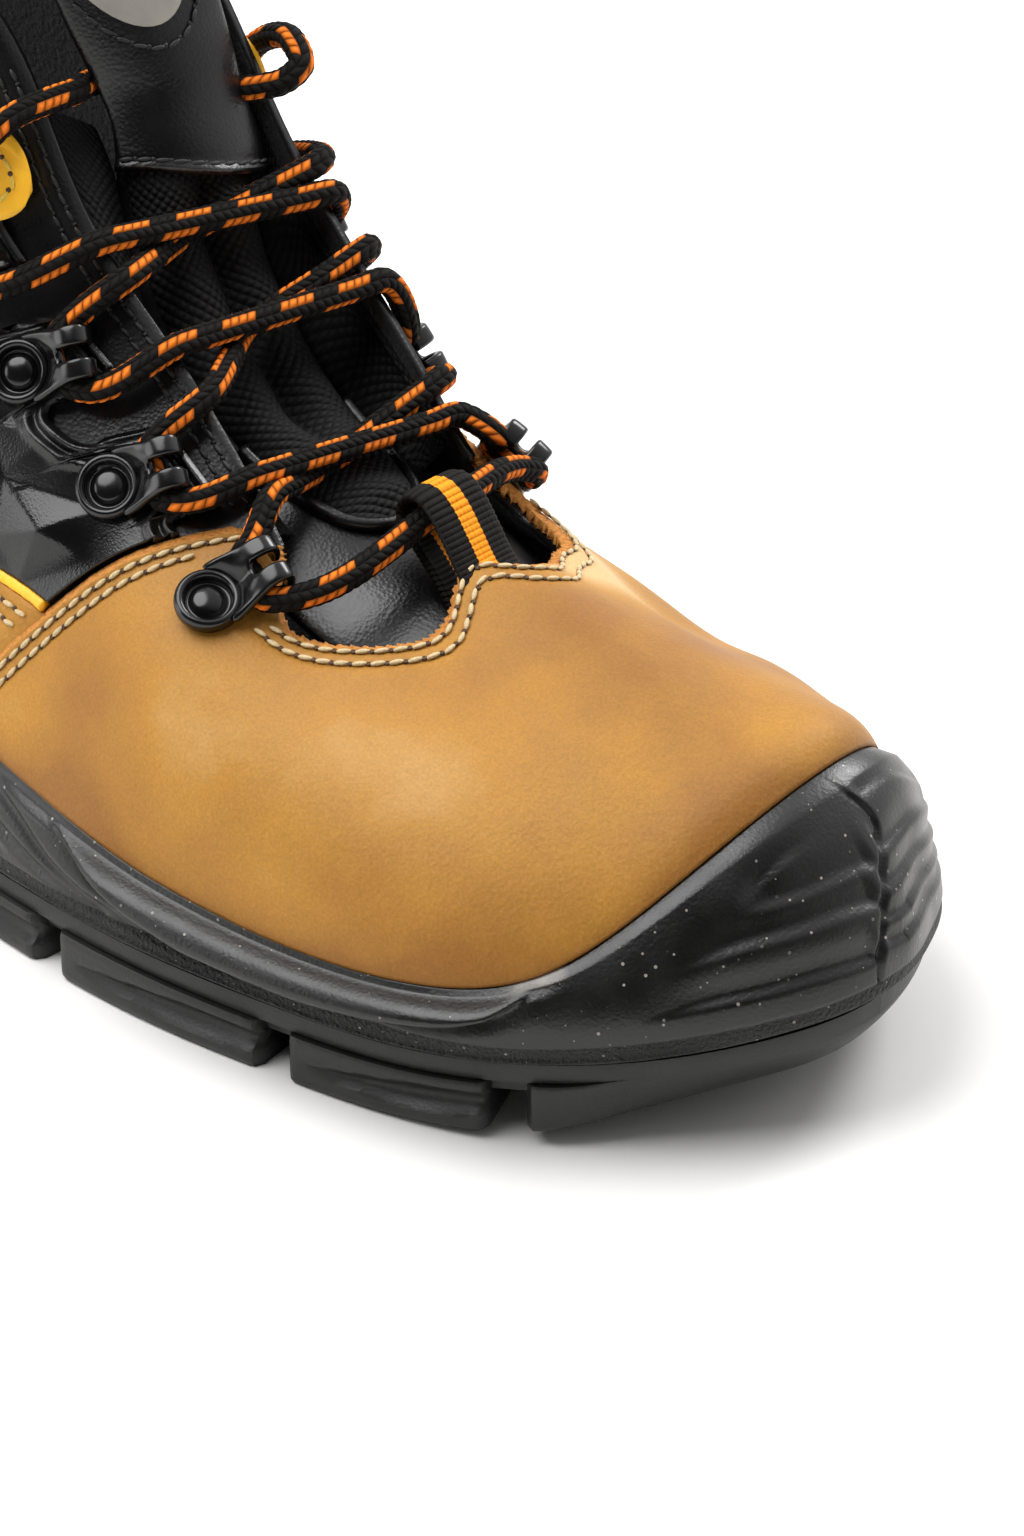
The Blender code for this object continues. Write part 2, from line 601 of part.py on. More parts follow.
def tongue_point(share, across, lift):
    """Point over the tongue's face: share of its length, place across from -1 to 1, height above."""
    place = share * (len(TONGUE) - 1)
    row = dict(zip(TONGUE_COLUMNS, along(TONGUE_TABLE, TONGUE_SLOPES, place)))
    ahead, behind = (along(TONGUE_TABLE, TONGUE_SLOPES, place + step) for step in (PROBE, -PROBE))
    run = ahead - behind
    turn = math.radians(row["turn"])
    sine, cosine = math.sin(turn), math.cos(turn)
    side = np.array([sine, cosine, 0.0])
    face = np.array([run[2] * cosine, -run[2] * sine, -run[0]])
    face = face / np.linalg.norm(face)
    middle = np.array([row["x"], row["y"], row["z"]])
    return middle + side * across * row["half_width"] + face * (lift - row["drop"] * across**2)


def build_sheet(name, rows, across, lift, thickness, outward, collection, material):
    """Sheet over part of the tongue's face, between two of its rows."""
    steps = [row / TONGUE_ROWS for row in range(rows[0], rows[1] + 1)]
    points = [[tongue_point(share, place, lift) for place in across] for share in steps]
    bm = mapped_grid(points)
    bmesh.ops.reverse_faces(bm, faces=bm.faces)
    mesh = bpy.data.meshes.new(name)
    bm.to_mesh(mesh)
    bm.free()
    obj = new_object(name, mesh, collection, material)
    thicken(obj, thickness, outward)


def build_tongue(collection, paint):
    """Padded tongue and the smooth patch on its upper half."""
    build_sheet("tongue", (0, TONGUE_ROWS), TONGUE_ACROSS, 0.0, TONGUE_THICKNESS, False, collection,
                paint["mesh"])
    build_sheet("tongue_patch", PATCH_ROWS, TONGUE_ACROSS[1:-1], GAP, PATCH_THICKNESS, True, collection,
                paint["black"])


def evaluated_mesh(obj, name):
    """Mesh of an object with its modifiers, or of a curve, with its caps welded on."""
    graph = bpy.context.evaluated_depsgraph_get()
    mesh = bpy.data.meshes.new_from_object(obj.evaluated_get(graph))
    mesh.name = name
    bm = bmesh.new()
    bm.from_mesh(mesh)
    bmesh.ops.remove_doubles(bm, verts=bm.verts, dist=0.001 * MM)
    bm.to_mesh(mesh)
    bm.free()
    return mesh


def combine(base, tool, operation):
    """Boolean of one object with another, which stays as a hidden cutter."""
    modifier = base.modifiers.new(operation.lower(), "BOOLEAN")
    modifier.operation = operation
    modifier.object = tool
    tool.hide_render = True
    tool.display_type = "WIRE"


def disc_mesh(name, radii, heights, sides):
    """Round disc with its radii at the two heights."""
    low, high = heights
    bm = bmesh.new()
    bmesh.ops.create_cone(bm, cap_ends=True, segments=sides, radius1=radii[0] * MM, radius2=radii[1] * MM,
                          depth=(high - low) * MM)
    bmesh.ops.translate(bm, verts=bm.verts, vec=(0.0, 0.0, (low + high) / 2 * MM))
    return mesh_from(bm, name)


def box_mesh(name, low, high):
    bm = bmesh.new()
    bmesh.ops.create_cube(bm, size=1.0)
    for vert in bm.verts:
        vert.co = Vector([(a + b) / 2 + t * (b - a) for a, b, t in zip(low, high, vert.co)]) * MM
    return mesh_from(bm, name)


def hook_mesh(cutters):
    """One hook, rivet at the origin and arms along +X, with the lace's way under the arms."""
    bm = bmesh.new()
    side = [bm.verts.new((x * MM, -HOOK_WIDTH / 2 * MM, z * MM)) for x, z in HOOK_PROFILE]
    face = bm.faces.new(side)
    swept = bmesh.ops.extrude_face_region(bm, geom=[face])["geom"]
    moved = [item for item in swept if isinstance(item, bmesh.types.BMVert)]
    bmesh.ops.translate(bm, verts=moved, vec=(0.0, HOOK_WIDTH * MM, 0.0))
    body = new_object("hook_body", mesh_from(bm, "hook_body"), cutters, None)
    slot_mesh = box_mesh("hook_slot", (HOOK_SLOT_START, -HOOK_SLOT_WIDTH / 2, 0.0),
                         (HOOK_SLOT_END, HOOK_SLOT_WIDTH / 2, HOOK_SLOT_TOP))
    slot = new_object("hook_slot", slot_mesh, cutters, None)
    disc_shape = disc_mesh("hook_disc", (HOOK_DISC_RADIUS, HOOK_DISC_RADIUS - DISC_CHAMFER),
                           (0.0, HOOK_DISC_HEIGHT), DISC_SIDES)
    disc = new_object("hook_disc", disc_shape, cutters, None)
    rivet_shape = disc_mesh("hook_rivet", (RIVET_RADIUS, RIVET_TOP_RADIUS),
                            (HOOK_DISC_HEIGHT - RIVET_SINK, HOOK_DISC_HEIGHT + RIVET_HEIGHT), RIVET_SIDES)
    rivet = new_object("hook_rivet", rivet_shape, cutters, None)
    combine(body, slot, "DIFFERENCE")
    combine(body, disc, "UNION")
    combine(body, rivet, "UNION")
    bpy.context.view_layer.update()
    mesh = evaluated_mesh(body, "hook")
    body.hide_render = True
    body.display_type = "WIRE"
    return mesh


def hook_place(row, side):
    """Frame of a hook: rivet foot, then the directions of its arms, of its width and outward."""
    rivet_rib, rivet_level, arm_rib, arm_level = HOOKS[row][:4]
    if side > 0:
        rivet_rib, arm_rib = RIB_COUNT - rivet_rib, RIB_COUNT - arm_rib
        rivet_level, arm_level = rivet_level - INNER_HOOK_DROP, arm_level - INNER_HOOK_DROP
    panel = VAMP_THICKNESS if row == 0 else QUARTER_THICKNESS
    foot = lifted(rivet_rib, rivet_level, panel + 4 * GAP)
    out = normal((rivet_rib + arm_rib) / 2, (rivet_level + arm_level) / 2)
    arm = surface(arm_rib, arm_level) - surface(rivet_rib, rivet_level)
    arm = arm - out * arm.dot(out)
    arm = arm / np.linalg.norm(arm)
    return foot, arm, np.cross(out, arm), out


def build_hooks(collection, cutters, material):
    """Four hooks on each side of the throat."""
    mesh = hook_mesh(cutters)
    mesh.materials.append(material)
    for side, label in ((-1, "outer"), (1, "inner")):
        for row in range(len(HOOKS)):
            foot, arm, width, out = hook_place(row, side)
            obj = new_object(f"hook_{label}_{row + 1}", mesh, collection, None)
            turn = Matrix((arm, width, out)).transposed().to_4x4()
            obj.matrix_world = Matrix.Translation(Vector(foot) * MM) @ turn


def lace_port(row, side, end):
    """Points where the lace leaves a hook: on its toe side with end 1, on its heel side with end -1."""
    foot, arm, width, out = hook_place(row, side)
    toeward = width if width[0] > 0 else -width
    middle = foot + arm * LACE_REACH + out * LACE_LIFT
    edge = HOOKS[row][HOOK_COLUMNS.index("toe_pass" if end > 0 else "heel_pass")]
    over = lifted(edge if side < 0 else RIB_COUNT - edge, TOP, LACE_OFF_EDGE) + (0.0, 0.0, LACE_OVER_EDGE)
    port = middle + toeward * end * LACE_CLEAR
    return [port, port + toeward * end * LACE_STRAIGHT + out * LACE_RISE, over]


def smooth_path(points, spacing):
    """Spots along a smooth curve through points that lie unevenly apart."""
    table = np.array(points, float)
    steps = np.diff(table, axis=0)
    lengths = np.linalg.norm(steps, axis=1)[:, None]
    rates = steps / lengths
    slopes = np.empty_like(table)
    slopes[1:-1] = (lengths[1:] * rates[:-1] + lengths[:-1] * rates[1:]) / (lengths[:-1] + lengths[1:])
    slopes[0], slopes[-1] = rates[0], rates[-1]
    spots = []
    for index, length in enumerate(lengths[:, 0]):
        count = max(1, round(length / spacing))
        ends = table[index:index + 2]
        spots.extend(along(ends, slopes[index:index + 2] * length, step / count) for step in range(count))
    return spots + [table[-1]]


def tube(name, points, collection, material):
    """Lace tube along a smooth curve through the points."""
    spots = smooth_path(points, LACE_SPACING)
    curve = bpy.data.curves.new(name, "CURVE")
    curve.dimensions = "3D"
    curve.bevel_depth = LACE_DIAMETER / 2 * MM
    curve.bevel_resolution = 2
    curve.use_fill_caps = True
    spline = curve.splines.new("POLY")
    spline.points.add(len(spots) - 1)
    for point, spot in zip(spline.points, spots):
        point.co = (*(spot * MM), 1.0)
    return new_object(name, curve, collection, material)


def as_mesh(curve_object, collection):
    """Mesh copy of a tube, in place of the tube."""
    name = curve_object.name
    mesh = evaluated_mesh(curve_object, name)
    matrix = curve_object.matrix_world.copy()
    curve = curve_object.data
    bpy.data.objects.remove(curve_object)
    bpy.data.curves.remove(curve)
    obj = bpy.data.objects.new(name, mesh)
    collection.objects.link(obj)
    obj.matrix_world = matrix
    return obj


def build_lace(collection, cutters, material):
    """Bottom bar, three crossings of two joined strands each, and the two free ends."""
    bar = lace_port(0, -1, 1)[:2] + [BAR_MIDDLE] + lace_port(0, 1, 1)[1::-1]
    tube("lace_bar", bar, collection, material)
    for row, middle in enumerate(CROSSINGS):
        low = np.array(middle) - (0.0, 0.0, LACE_DIAMETER / 3)
        over = lace_port(row, 1, -1) + [middle] + lace_port(row + 1, -1, 1)[::-1]
        under = lace_port(row, -1, -1) + [low] + lace_port(row + 1, 1, 1)[::-1]
        name = f"lace_crossing_{row + 1}"
        strand = as_mesh(tube(name, over, collection, material), collection)
        other = as_mesh(tube(name + "_under", under, cutters, material), cutters)
        combine(strand, other, "UNION")
    for side, label in ((-1, "outer"), (1, "inner")):
        points = []
        for rib, level, height in END_OVER:
            points.append(lifted(rib if side < 0 else RIB_COUNT - rib, level, height))
        tube(f"lace_end_{label}", points + END_INSIDE[side], collection, material)


def build_loop(collection, material):
    """Webbing arch from the vamp's point to the tongue, over the lace's bar."""
    table = np.array(LOOP_PATH)
    slopes = open_slopes(table)
    spots = [along(table, slopes, index / 2) for index in range(2 * len(table) - 1)]
    middle = BAR_MIDDLE[1]
    points = [[(x, middle + side * WEBBING_WIDTH / 2, z) for side in (1, -1)] for x, z in spots]
    bm = mapped_grid(points)
    mesh = bpy.data.meshes.new("webbing_loop")
    bm.to_mesh(mesh)
    bm.free()
    obj = new_object("webbing_loop", mesh, collection, material)
    thicken(obj, WEBBING_THICKNESS, outward=True)


def build_tabs(collection, material):
    """Tab on each quarter beside the upper lacing, its tip rounded towards the throat."""
    low_tip, high_tip, high_rear, low_rear = (np.array(corner) for corner in TAB_CORNERS)
    for side, label in ((-1, "outer"), (1, "inner")):
        rows = []
        for along_share in shares(0.0, 1.0, TAB_GRID[0]):
            corner = TAB_TIP_CUT * max(0.0, 1.0 - along_share / TAB_TIP_LENGTH) ** 2
            row = []
            for across in shares(corner, 1.0 - corner, TAB_GRID[1]):
                tip = low_tip + (high_tip - low_tip) * across
                rear = low_rear + (high_rear - low_rear) * across
                rib, level = tip + (rear - tip) * along_share
                row.append(lifted(rib if side < 0 else RIB_COUNT - rib, level, TAB_LIFT))
            rows.append(row)
        bm = mapped_grid(rows)
        if side < 0:
            bmesh.ops.reverse_faces(bm, faces=bm.faces)
        mesh = bpy.data.meshes.new(f"tab_{label}")
        bm.to_mesh(mesh)
        bm.free()
        obj = new_object(f"tab_{label}", mesh, collection, material)
        thicken(obj, TAB_THICKNESS, outward=True)


def centre_on_origin(objects, widest, collection):
    """Hangs every object on an empty that brings the middle of the sole's plan to the origin."""
    spread = np.array([vert.co[:2] for vert in widest.data.vertices])
    middle = (spread.min(axis=0) + spread.max(axis=0)) / 2
    origin = bpy.data.objects.new("shoe_origin", None)
    collection.objects.link(origin)
    origin.location = (-middle[0], -middle[1], 0.0)
    for obj in objects:
        obj.parent = origin


def main():
    for obj in list(bpy.data.objects):
        bpy.data.objects.remove(obj)
    scene = bpy.context.scene.collection
    shoe = bpy.data.collections.new("safety_shoe")
    cutters = bpy.data.collections.new("cutters")
    scene.children.link(shoe)
    scene.children.link(cutters)
    paint = {
        "tan": principled("tan_leather", (0.45, 0.24, 0.06), 0.45),
        "black": principled("black_leather", (0.02, 0.02, 0.02), 0.4),
        "mesh": principled("black_mesh", (0.015, 0.015, 0.015), 0.8),
        "sole": principled("black_foam", (0.025, 0.025, 0.025), 0.5),
        "tread": principled("black_rubber", (0.03, 0.03, 0.03), 0.55),
        "board": principled("grey_felt", (0.08, 0.08, 0.08), 0.9),
        "yellow": principled("yellow_leather", (0.8, 0.4, 0.03), 0.5),
        "hook": principled("black_plastic", (0.01, 0.01, 0.01), 0.25),
        "lace": principled("braided_lace", (0.03, 0.025, 0.02), 0.8),
        "web": principled("webbing", (0.8, 0.3, 0.02), 0.8),
    }
    build_outsole(shoe, paint["tread"])
    build_midsole(shoe, paint["sole"])
    build_insole(shoe, paint["board"])
    build_upper(shoe, paint["black"])
    build_overlays(shoe, paint)
    build_tongue(shoe, paint)
    build_hooks(shoe, cutters, paint["hook"])
    build_lace(shoe, cutters, paint["lace"])
    build_loop(shoe, paint["web"])
    build_tabs(shoe, paint["yellow"])
    centre_on_origin([*shoe.objects, *cutters.objects], bpy.data.objects["midsole"], shoe)


main()
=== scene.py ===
"""Looks of a lace-up safety shoe for the right foot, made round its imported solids.

Frame: +X to the toe, +Y to the inner side of the foot, +Z up, floor at z = 0.
Tables and working sizes are in millimetres, and MM turns them into metres.
"""

import math

import bmesh
import bpy
import numpy as np
from bpy.props import FloatProperty, FloatVectorProperty, PointerProperty
from mathutils import Matrix, Vector
from mathutils.geometry import delaunay_2d_cdt


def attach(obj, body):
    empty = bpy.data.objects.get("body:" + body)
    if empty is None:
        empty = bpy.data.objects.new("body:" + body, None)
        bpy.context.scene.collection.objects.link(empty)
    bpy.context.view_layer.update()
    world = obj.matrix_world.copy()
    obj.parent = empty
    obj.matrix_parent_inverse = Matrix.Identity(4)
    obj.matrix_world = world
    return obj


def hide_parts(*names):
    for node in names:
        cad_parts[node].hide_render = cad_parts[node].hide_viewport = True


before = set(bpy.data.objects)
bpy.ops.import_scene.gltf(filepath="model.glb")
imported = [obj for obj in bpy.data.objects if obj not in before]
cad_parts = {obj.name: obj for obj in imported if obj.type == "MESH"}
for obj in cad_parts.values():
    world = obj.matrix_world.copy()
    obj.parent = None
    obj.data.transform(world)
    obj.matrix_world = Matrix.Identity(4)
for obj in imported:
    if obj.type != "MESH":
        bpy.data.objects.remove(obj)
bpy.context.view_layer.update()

bl_info = {
    "name": "Safety shoe looks",
    "version": (1, 0, 0),
    "blender": (4, 5, 0),
    "location": "3D View > Sidebar > Shoe",
    "description": "Leather, foam, lace and stitching of a safety shoe, piece by piece",
    "category": "Object",
}

MM = 0.001
# Step in rib and level that slopes are measured over, and distance at which points become one
PROBE = 0.03
MERGE = 0.001
SIDES = ((-1, "outer"), (1, "inner"))

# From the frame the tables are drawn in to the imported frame
FRAME_SHIFT = np.array([0.015, -2.152, 0.0])

# Ribs round the shoe from the toe along the outer side, the heel and the inner side: the sole's edge in plan,
# then the feather line, the sole's lip, the panel line, the hook line and the throat or collar edge, the
# level where the cuff starts, and the swell of the sole's wall
RIB_COLUMNS = ("sole", "feather", "lip", "panel", "hooks", "top", "cuff", "bulge")
RIBS = {
    "toe_tip": ((153, 9), (144, 9, 24.5), (133.5, 9, 53.5), (121, 10, 58.5), (97, 11, 63.5),
                (60.5, 12, 70), 3.6, 7.5),
    "toe_outer": ((146.5, -12), (138, -13, 23.5), (129.7, -10.5, 46), (119, -5.5, 54), (97, -1, 60.5),
                  (63, 1, 65.5), 3.6, 5.5),
    "toe_side_outer": ((129, -31), (123, -29, 21), (119.5, -30.8, 33), (112, -23.5, 46.5), (93, -12.5, 57),
                       (62.5, -7, 63), 3.6, 3.5),
    "forefoot_outer": ((102, -45), (100, -41, 18.5), (101.5, -43.5, 27), (95, -37, 43.5), (80, -24, 55.5),
                       (55, -13.5, 62.5), 3.6, 2.0),
    "ball_outer": ((70, -51.5), (70, -46, 17), (70, -49, 25.5), (65, -44, 44), (55, -32.5, 56.5),
                   (45, -17, 63.5), 3.6, 1.6),
    "waist_outer": ((30, -54.5), (30, -48, 17), (30, -50.5, 28), (32, -43.5, 49), (34.5, -31.5, 62.5),
                    (39, -12.5, 69), 3.55, 1.6),
    "vamp_edge_outer": ((-20, -50), (-20, -45, 17), (-16, -47, 31), (3.5, -35.5, 57), (18, -24.5, 70.5),
                        (33, -9.5, 75), 3.5, 1.6),
    "quarter_outer": ((-48, -46), (-48, -42, 17.5), (-46, -43.5, 32), (-30, -36.5, 62.5), (-14, -28, 82),
                      (8, -6, 96), 3.65, 1.6),
    "instep_outer": ((-76, -44), (-76, -39, 18), (-75, -41, 33), (-66, -36, 67), (-50, -31.5, 98),
                     (-16, -7, 122), 3.75, 1.6),
    "collar_outer": ((-100, -42.5), (-100, -37, 18.5), (-100, -39, 34), (-93, -36.3, 69.5),
                     (-78, -33.5, 112), (-42, -11, 157), 3.6, 1.8),
    "ankle_outer": ((-127, -36.5), (-122, -32.5, 19), (-124, -34.5, 35), (-121.5, -33.3, 71),
                    (-113, -31.5, 114), (-86, -35, 158), 3.4, 2.0),
    "heel_outer": ((-146, -21), (-138, -20, 19.5), (-141.5, -21, 36), (-140.7, -21.5, 72),
                   (-134, -21.5, 115), (-122, -26, 161), 3.35, 2.4),
    "heel_back": ((-153, 0), (-144, 0, 20), (-148.3, 0, 36), (-148.7, 0, 72), (-142.5, 0, 115),
                  (-139, 0, 163), 3.35, 2.6),
    "heel_inner": ((-146, 21), (-138, 20, 19.5), (-141.5, 21, 36), (-140.7, 21.5, 72), (-134, 21.5, 115),
                   (-122, 26, 161), 3.35, 2.4),
    "ankle_inner": ((-127, 35.5), (-122, 31.5, 19), (-124, 33.5, 35), (-121.5, 33, 71), (-113, 32, 114),
                    (-86, 37, 158), 3.4, 2.0),
    "collar_inner": ((-100, 39), (-100, 33.5, 18.5), (-100, 36, 34), (-93, 36.3, 69.5), (-77, 37.5, 112),
                     (-34, 33, 159), 3.6, 1.8),
    "instep_inner": ((-76, 38.5), (-76, 32.5, 18), (-75, 35.5, 33), (-66, 38, 67.5), (-49, 40, 98),
                     (-8.5, 34.5, 127), 3.75, 1.6),
    "quarter_inner": ((-48, 39), (-48, 33, 18), (-46, 36.5, 32), (-30, 41, 63), (-13, 40.5, 81.5),
                      (12, 36, 100), 3.65, 1.6),
    "vamp_edge_inner": ((-20, 42), (-20, 35.5, 17.5), (-16, 39.5, 31), (3.5, 44.5, 57), (18, 42, 68),
                        (35, 35.5, 76), 3.5, 1.6),
    "waist_inner": ((30, 52), (30, 44, 17), (31, 47.5, 28), (33, 48.5, 49), (35, 43, 59.5),
                    (40, 37, 69), 3.55, 1.6),
    "ball_inner": ((68, 58.5), (68, 50.5, 17), (68, 53.5, 26), (65, 53, 44), (56, 45.5, 53.5),
                   (45, 38.5, 64.5), 3.6, 1.6),
    "forefoot_inner": ((99, 58), (98, 51, 18.5), (100, 53, 28), (95, 49, 44.5), (81, 39, 52.5),
                       (55, 35, 63.5), 3.6, 2.0),
    "toe_side_inner": ((126, 50), (121, 45, 21), (120.5, 44, 37.5), (112.5, 39, 49), (93.5, 32, 55),
                       (60, 28.5, 64), 3.6, 5.0),
    "toe_inner": ((144, 33), (137, 30.5, 23.5), (131.5, 28, 51.5), (120.5, 25.5, 57), (98, 21.5, 60.5),
                  (62.5, 21, 66.5), 3.6, 7.5),
}
LEVELS = ("feather", "lip", "panel", "hooks", "top")
FEATHER, LIP, PANEL, _, TOP = range(len(LEVELS))
RIB_COUNT = len(RIBS)
# Hollow behind the toe on the inner ridge: middle, length, width and depth
VAMP_HOLLOW = (79.0, 46.0, 15.0, 12.0, 3.4)
VAMP_EDGE = 6
HEEL = 12

# Sole
GAP = 0.3
SEAM_GAP = 0.6
OUTSOLE_HEIGHT = 13.5
LUG_HEIGHT = 9.6
TOE_SPRING = 9.0
SPRING_START = 75.0
HALF_SOLE = 153.0
LIP_THICKNESS = 2.6
LIP_CLEAR = 0.9
LIP_CLIMB = 4.0
LIP_CLIMB_RIBS = (4.6, 6.0, 7.5, 9.0)
LIP_INSET = 1.3
LIP_GAP = 0.6
# Rounded top of the lip: rise above it and height above the upper's face
LIP_CROWN = [(0.5, 2.1), (0.9, 1.6), (0.95, 1.1), (0.6, LIP_GAP)]
UNDER_INSET = 8.0
FLOOR_GAP = 1.0
SOLE_COLUMNS = 840
# Shares of the way round and ribs there, closer by the parting seam
SOLE_SPREAD = ((0.0, 0.06, 0.9, 1.0), (0.0, 0.35, 23.4, 24.0))
WALL_ROWS = 60
WALL_SHARE = 0.97
# Swell of the foam's wall, in shares of its height
SWELL_MIDDLE = 0.48
SWELL_REACH = 0.58
SWELL_FOOT = 0.08

# Long roll of foam under the leather, from its front tip at the bumper to its rear tip: rib, share of the
# wall's height where its lower edge runs
ROLL_EDGE = [(2.02, 1.0), (2.3, 0.94), (2.58, 0.74), (2.9, 0.62), (3.3, 0.52), (3.75, 0.45), (4.4, 0.44),
             (4.77, 0.60), (5.0, 0.80), (5.3, 1.0)]
ROLL_HEIGHT = 3.2
ROLL_CREASE = 1.7
# Grooves moulded into the bumper, as ribs and shares of the wall's height, with depth, width and fading ends,
# then grooves along the sides, with depth and width
BUMPER_GROOVES = [
    ([(0.92, 0.79), (0.55, 0.855), (0.42, 0.868), (0.1, 0.895)], 0.9, 2.0, 0.5, 0.25),
    ([(0.94, 0.78), (0.65, 0.74), (0.43, 0.715), (0.15, 0.70), (-0.15, 0.675)], 1.2, 3.4, 0.1, 0.3),
    ([(1.5, 0.69), (1.32, 0.68), (1.0, 0.645), (0.64, 0.60), (0.26, 0.57), (-0.05, 0.52)], 1.3, 3.8, 0.1, 0.6),
    ([(1.75, 0.46), (1.52, 0.445), (1.24, 0.41), (0.94, 0.37), (0.59, 0.345), (0.09, 0.295)], 1.3, 3.8, 0.1, 0.6),
    ([(-0.28, 0.92), (-0.76, 0.92), (-1.06, 0.86), (-1.6, 0.78)], 0.8, 3.0, 0.6, 0.1),
    ([(-0.18, 0.705), (-0.50, 0.705), (-0.87, 0.715), (-1.7, 0.66)], 1.1, 3.4, 0.6, 0.08),
    ([(-0.06, 0.565), (-0.33, 0.57), (-0.65, 0.57), (-1.8, 0.52)], 1.1, 3.2, 0.6, 0.08),
    ([(0.04, 0.45), (-0.24, 0.43), (-0.47, 0.445), (-1.8, 0.40)], 1.0, 3.0, 0.6, 0.08),
    ([(0.09, 0.35), (-0.15, 0.315), (-0.28, 0.33), (-1.8, 0.30)], 0.9, 2.6, 0.6, 0.08),
]
SIDE_GROOVES = [
    ([(5.75, 0.98), (5.42, 0.80), (5.25, 0.62), (5.05, 0.44), (4.7, 0.33), (4.2, 0.32)], 0.9, 1.1),
    ([(6.1, 0.97), (5.7, 0.72), (5.42, 0.52), (5.15, 0.36), (4.9, 0.30)], 0.8, 1.1),
    ([(6.6, 0.96), (6.1, 0.66), (5.75, 0.46), (5.45, 0.34)], 0.7, 1.1),
    ([(7.4, 0.40), (8.2, 0.62), (9.2, 0.72), (10.4, 0.72), (12.0, 0.72)], 0.8, 1.3),
    ([(7.6, 0.30), (8.6, 0.42), (10.0, 0.46), (12.0, 0.46)], 0.8, 1.3),
]
PARTING_SEAM = [(-0.16, 1.0), (-0.25, 0.92), (-0.31, 0.80), (-0.24, 0.705), (-0.13, 0.60), (0.01, 0.445),
                (0.12, 0.29), (0.15, 0.17)]
SEAM_DEPTH = 1.0
SEAM_WIDTH = 0.45
SEAM_STEP = 0.5
# Inner side of the toe, drawn in between ribs, and a glue mark at the roll's tip
INNER_TOE_INSET = 2.4
INNER_TOE_RIBS = (0.1, 0.7, 1.8, 2.8)
GLUE_RIBS = (2.0, 2.1, 2.35, 2.55)
# Gritty band above the foam's lower edge
BAND_LOW = 1.3
BAND_HIGH = 4.1
BAND_DEPTH = 0.35

# Lugs along the sole, from the toe: rear and front x of each
LUG_SPANS = [(117.0, 147.0), (74.5, 111.0), (23.0, 68.5), (-27.0, 17.0), (-98.0, -63.0), (-147.0, -104.0)]
MIDDLE_LUG_ENDS = (-136.0, 126.0)
SIDE_LUG_SHARE = 0.17
MIDDLE_LUG = (0.39, 0.61)
CHANNEL_ROOF = 4.5
GROOVE_ROOF = 7.0
LUG_OUT = 0.9
LUG_ROUND = 1.9
NOTCH_INSET = 2.6
PLATE_INSET = 0.3
SCOOP_DEPTH = 2.7
TOE_ROCKER = 3.0
TOE_UNDERCUT = 5.5
END_LUG_DEPTH = 15.0
END_LUG_RUN = 130.0
TIP_START = 140.0
TOE_TIP = (112.0, 148.0)
WAIST_MIDDLE = -45.0
WAIST_REACH = 17.0

# Footbed
FOOTBED_RISE = 4.0
FOOTBED_INSET = 2.9
FOOTBED_DISH = 1.2
FOOTBED_THICKNESS = 2.6

# Top edge of the tan vamp, as rib and level, from the outer rear edge over the point under the loop
VAMP_TOP = [(-6.0, 3.70), (-5.9, 3.86), (-5.65, 3.99), (-5.0, 4.0), (-4.45, 3.97), (-4.0, 3.86), (-3.5, 3.89),
            (-2.9, 3.90), (-2.1, 3.95), (-1.0, 3.90), (-0.3, 3.83), (0.0, 3.88), (0.15, 3.96), (0.3, 4.0),
            (0.7, 4.0), (1.05, 3.97), (1.55, 3.95), (2.2, 3.92), (2.9, 3.90), (3.5, 3.89), (4.0, 3.86),
            (4.45, 3.97), (5.0, 4.0), (5.65, 3.99), (5.9, 3.86), (6.0, 3.70)]
# Rows of stitches along the throat, as rib and level
THROAT_ROWS = [
    [(4.32, 3.66), (3.85, 3.70), (2.75, 3.79), (1.90, 3.83), (1.35, 3.87), (1.05, 3.90), (0.72, 3.93),
     (0.42, 3.94), (0.20, 3.88), (0.05, 3.81), (-0.30, 3.74), (-1.0, 3.79), (-1.75, 3.88), (-2.6, 3.84),
     (-3.4, 3.78), (-4.3, 3.68)],
    [(4.46, 3.53), (3.80, 3.57), (2.90, 3.67), (1.80, 3.74), (1.30, 3.79), (1.00, 3.82), (0.72, 3.85),
     (0.48, 3.86), (0.28, 3.81), (0.05, 3.71), (-0.30, 3.64), (-1.0, 3.69), (-1.75, 3.78), (-2.6, 3.74),
     (-3.4, 3.67), (-4.4, 3.55)],
]
EDGE_ROWS = (3.6, 6.3)
# Patches where the tan leather is paler or deeper, partly its own tone and partly painted highlights and painted
# shade, the strongest a painted highlight high on the inner ridge: rib, level, size and amount
TAN_TONE_AND_LIGHT_PATCHES = [(5.35, 2.3, 26, -0.02), (3.2, 2.9, 26, 0.2), (1.7, 2.4, 22, 0.12), (-0.3, 3.2, 30, -0.3),
               (0.0, 2.0, 20, -0.12), (-0.6, 1.6, 22, 0.10), (2.6, 1.5, 30, -0.16), (1.2, 1.5, 18, -0.05),
               (5.1, 1.2, 18, -0.20), (3.6, 2.2, 20, -0.05), (-2.3, 3.9, 14, 1.2), (0.6, 1.15, 12, -0.22),
               (3.0, 1.1, 10, -0.18)]
RAW_MARGIN = 3.0

# Padding of the cuff between ribs, and the collar's roll
CUFF_RIBS = (8.7, 9.6, 14.4, 15.3)
CUFF_PADDING = 2.4
COLLAR_RIBS = (8.62, 15.38)
COLLAR_RADIUS = 4.6

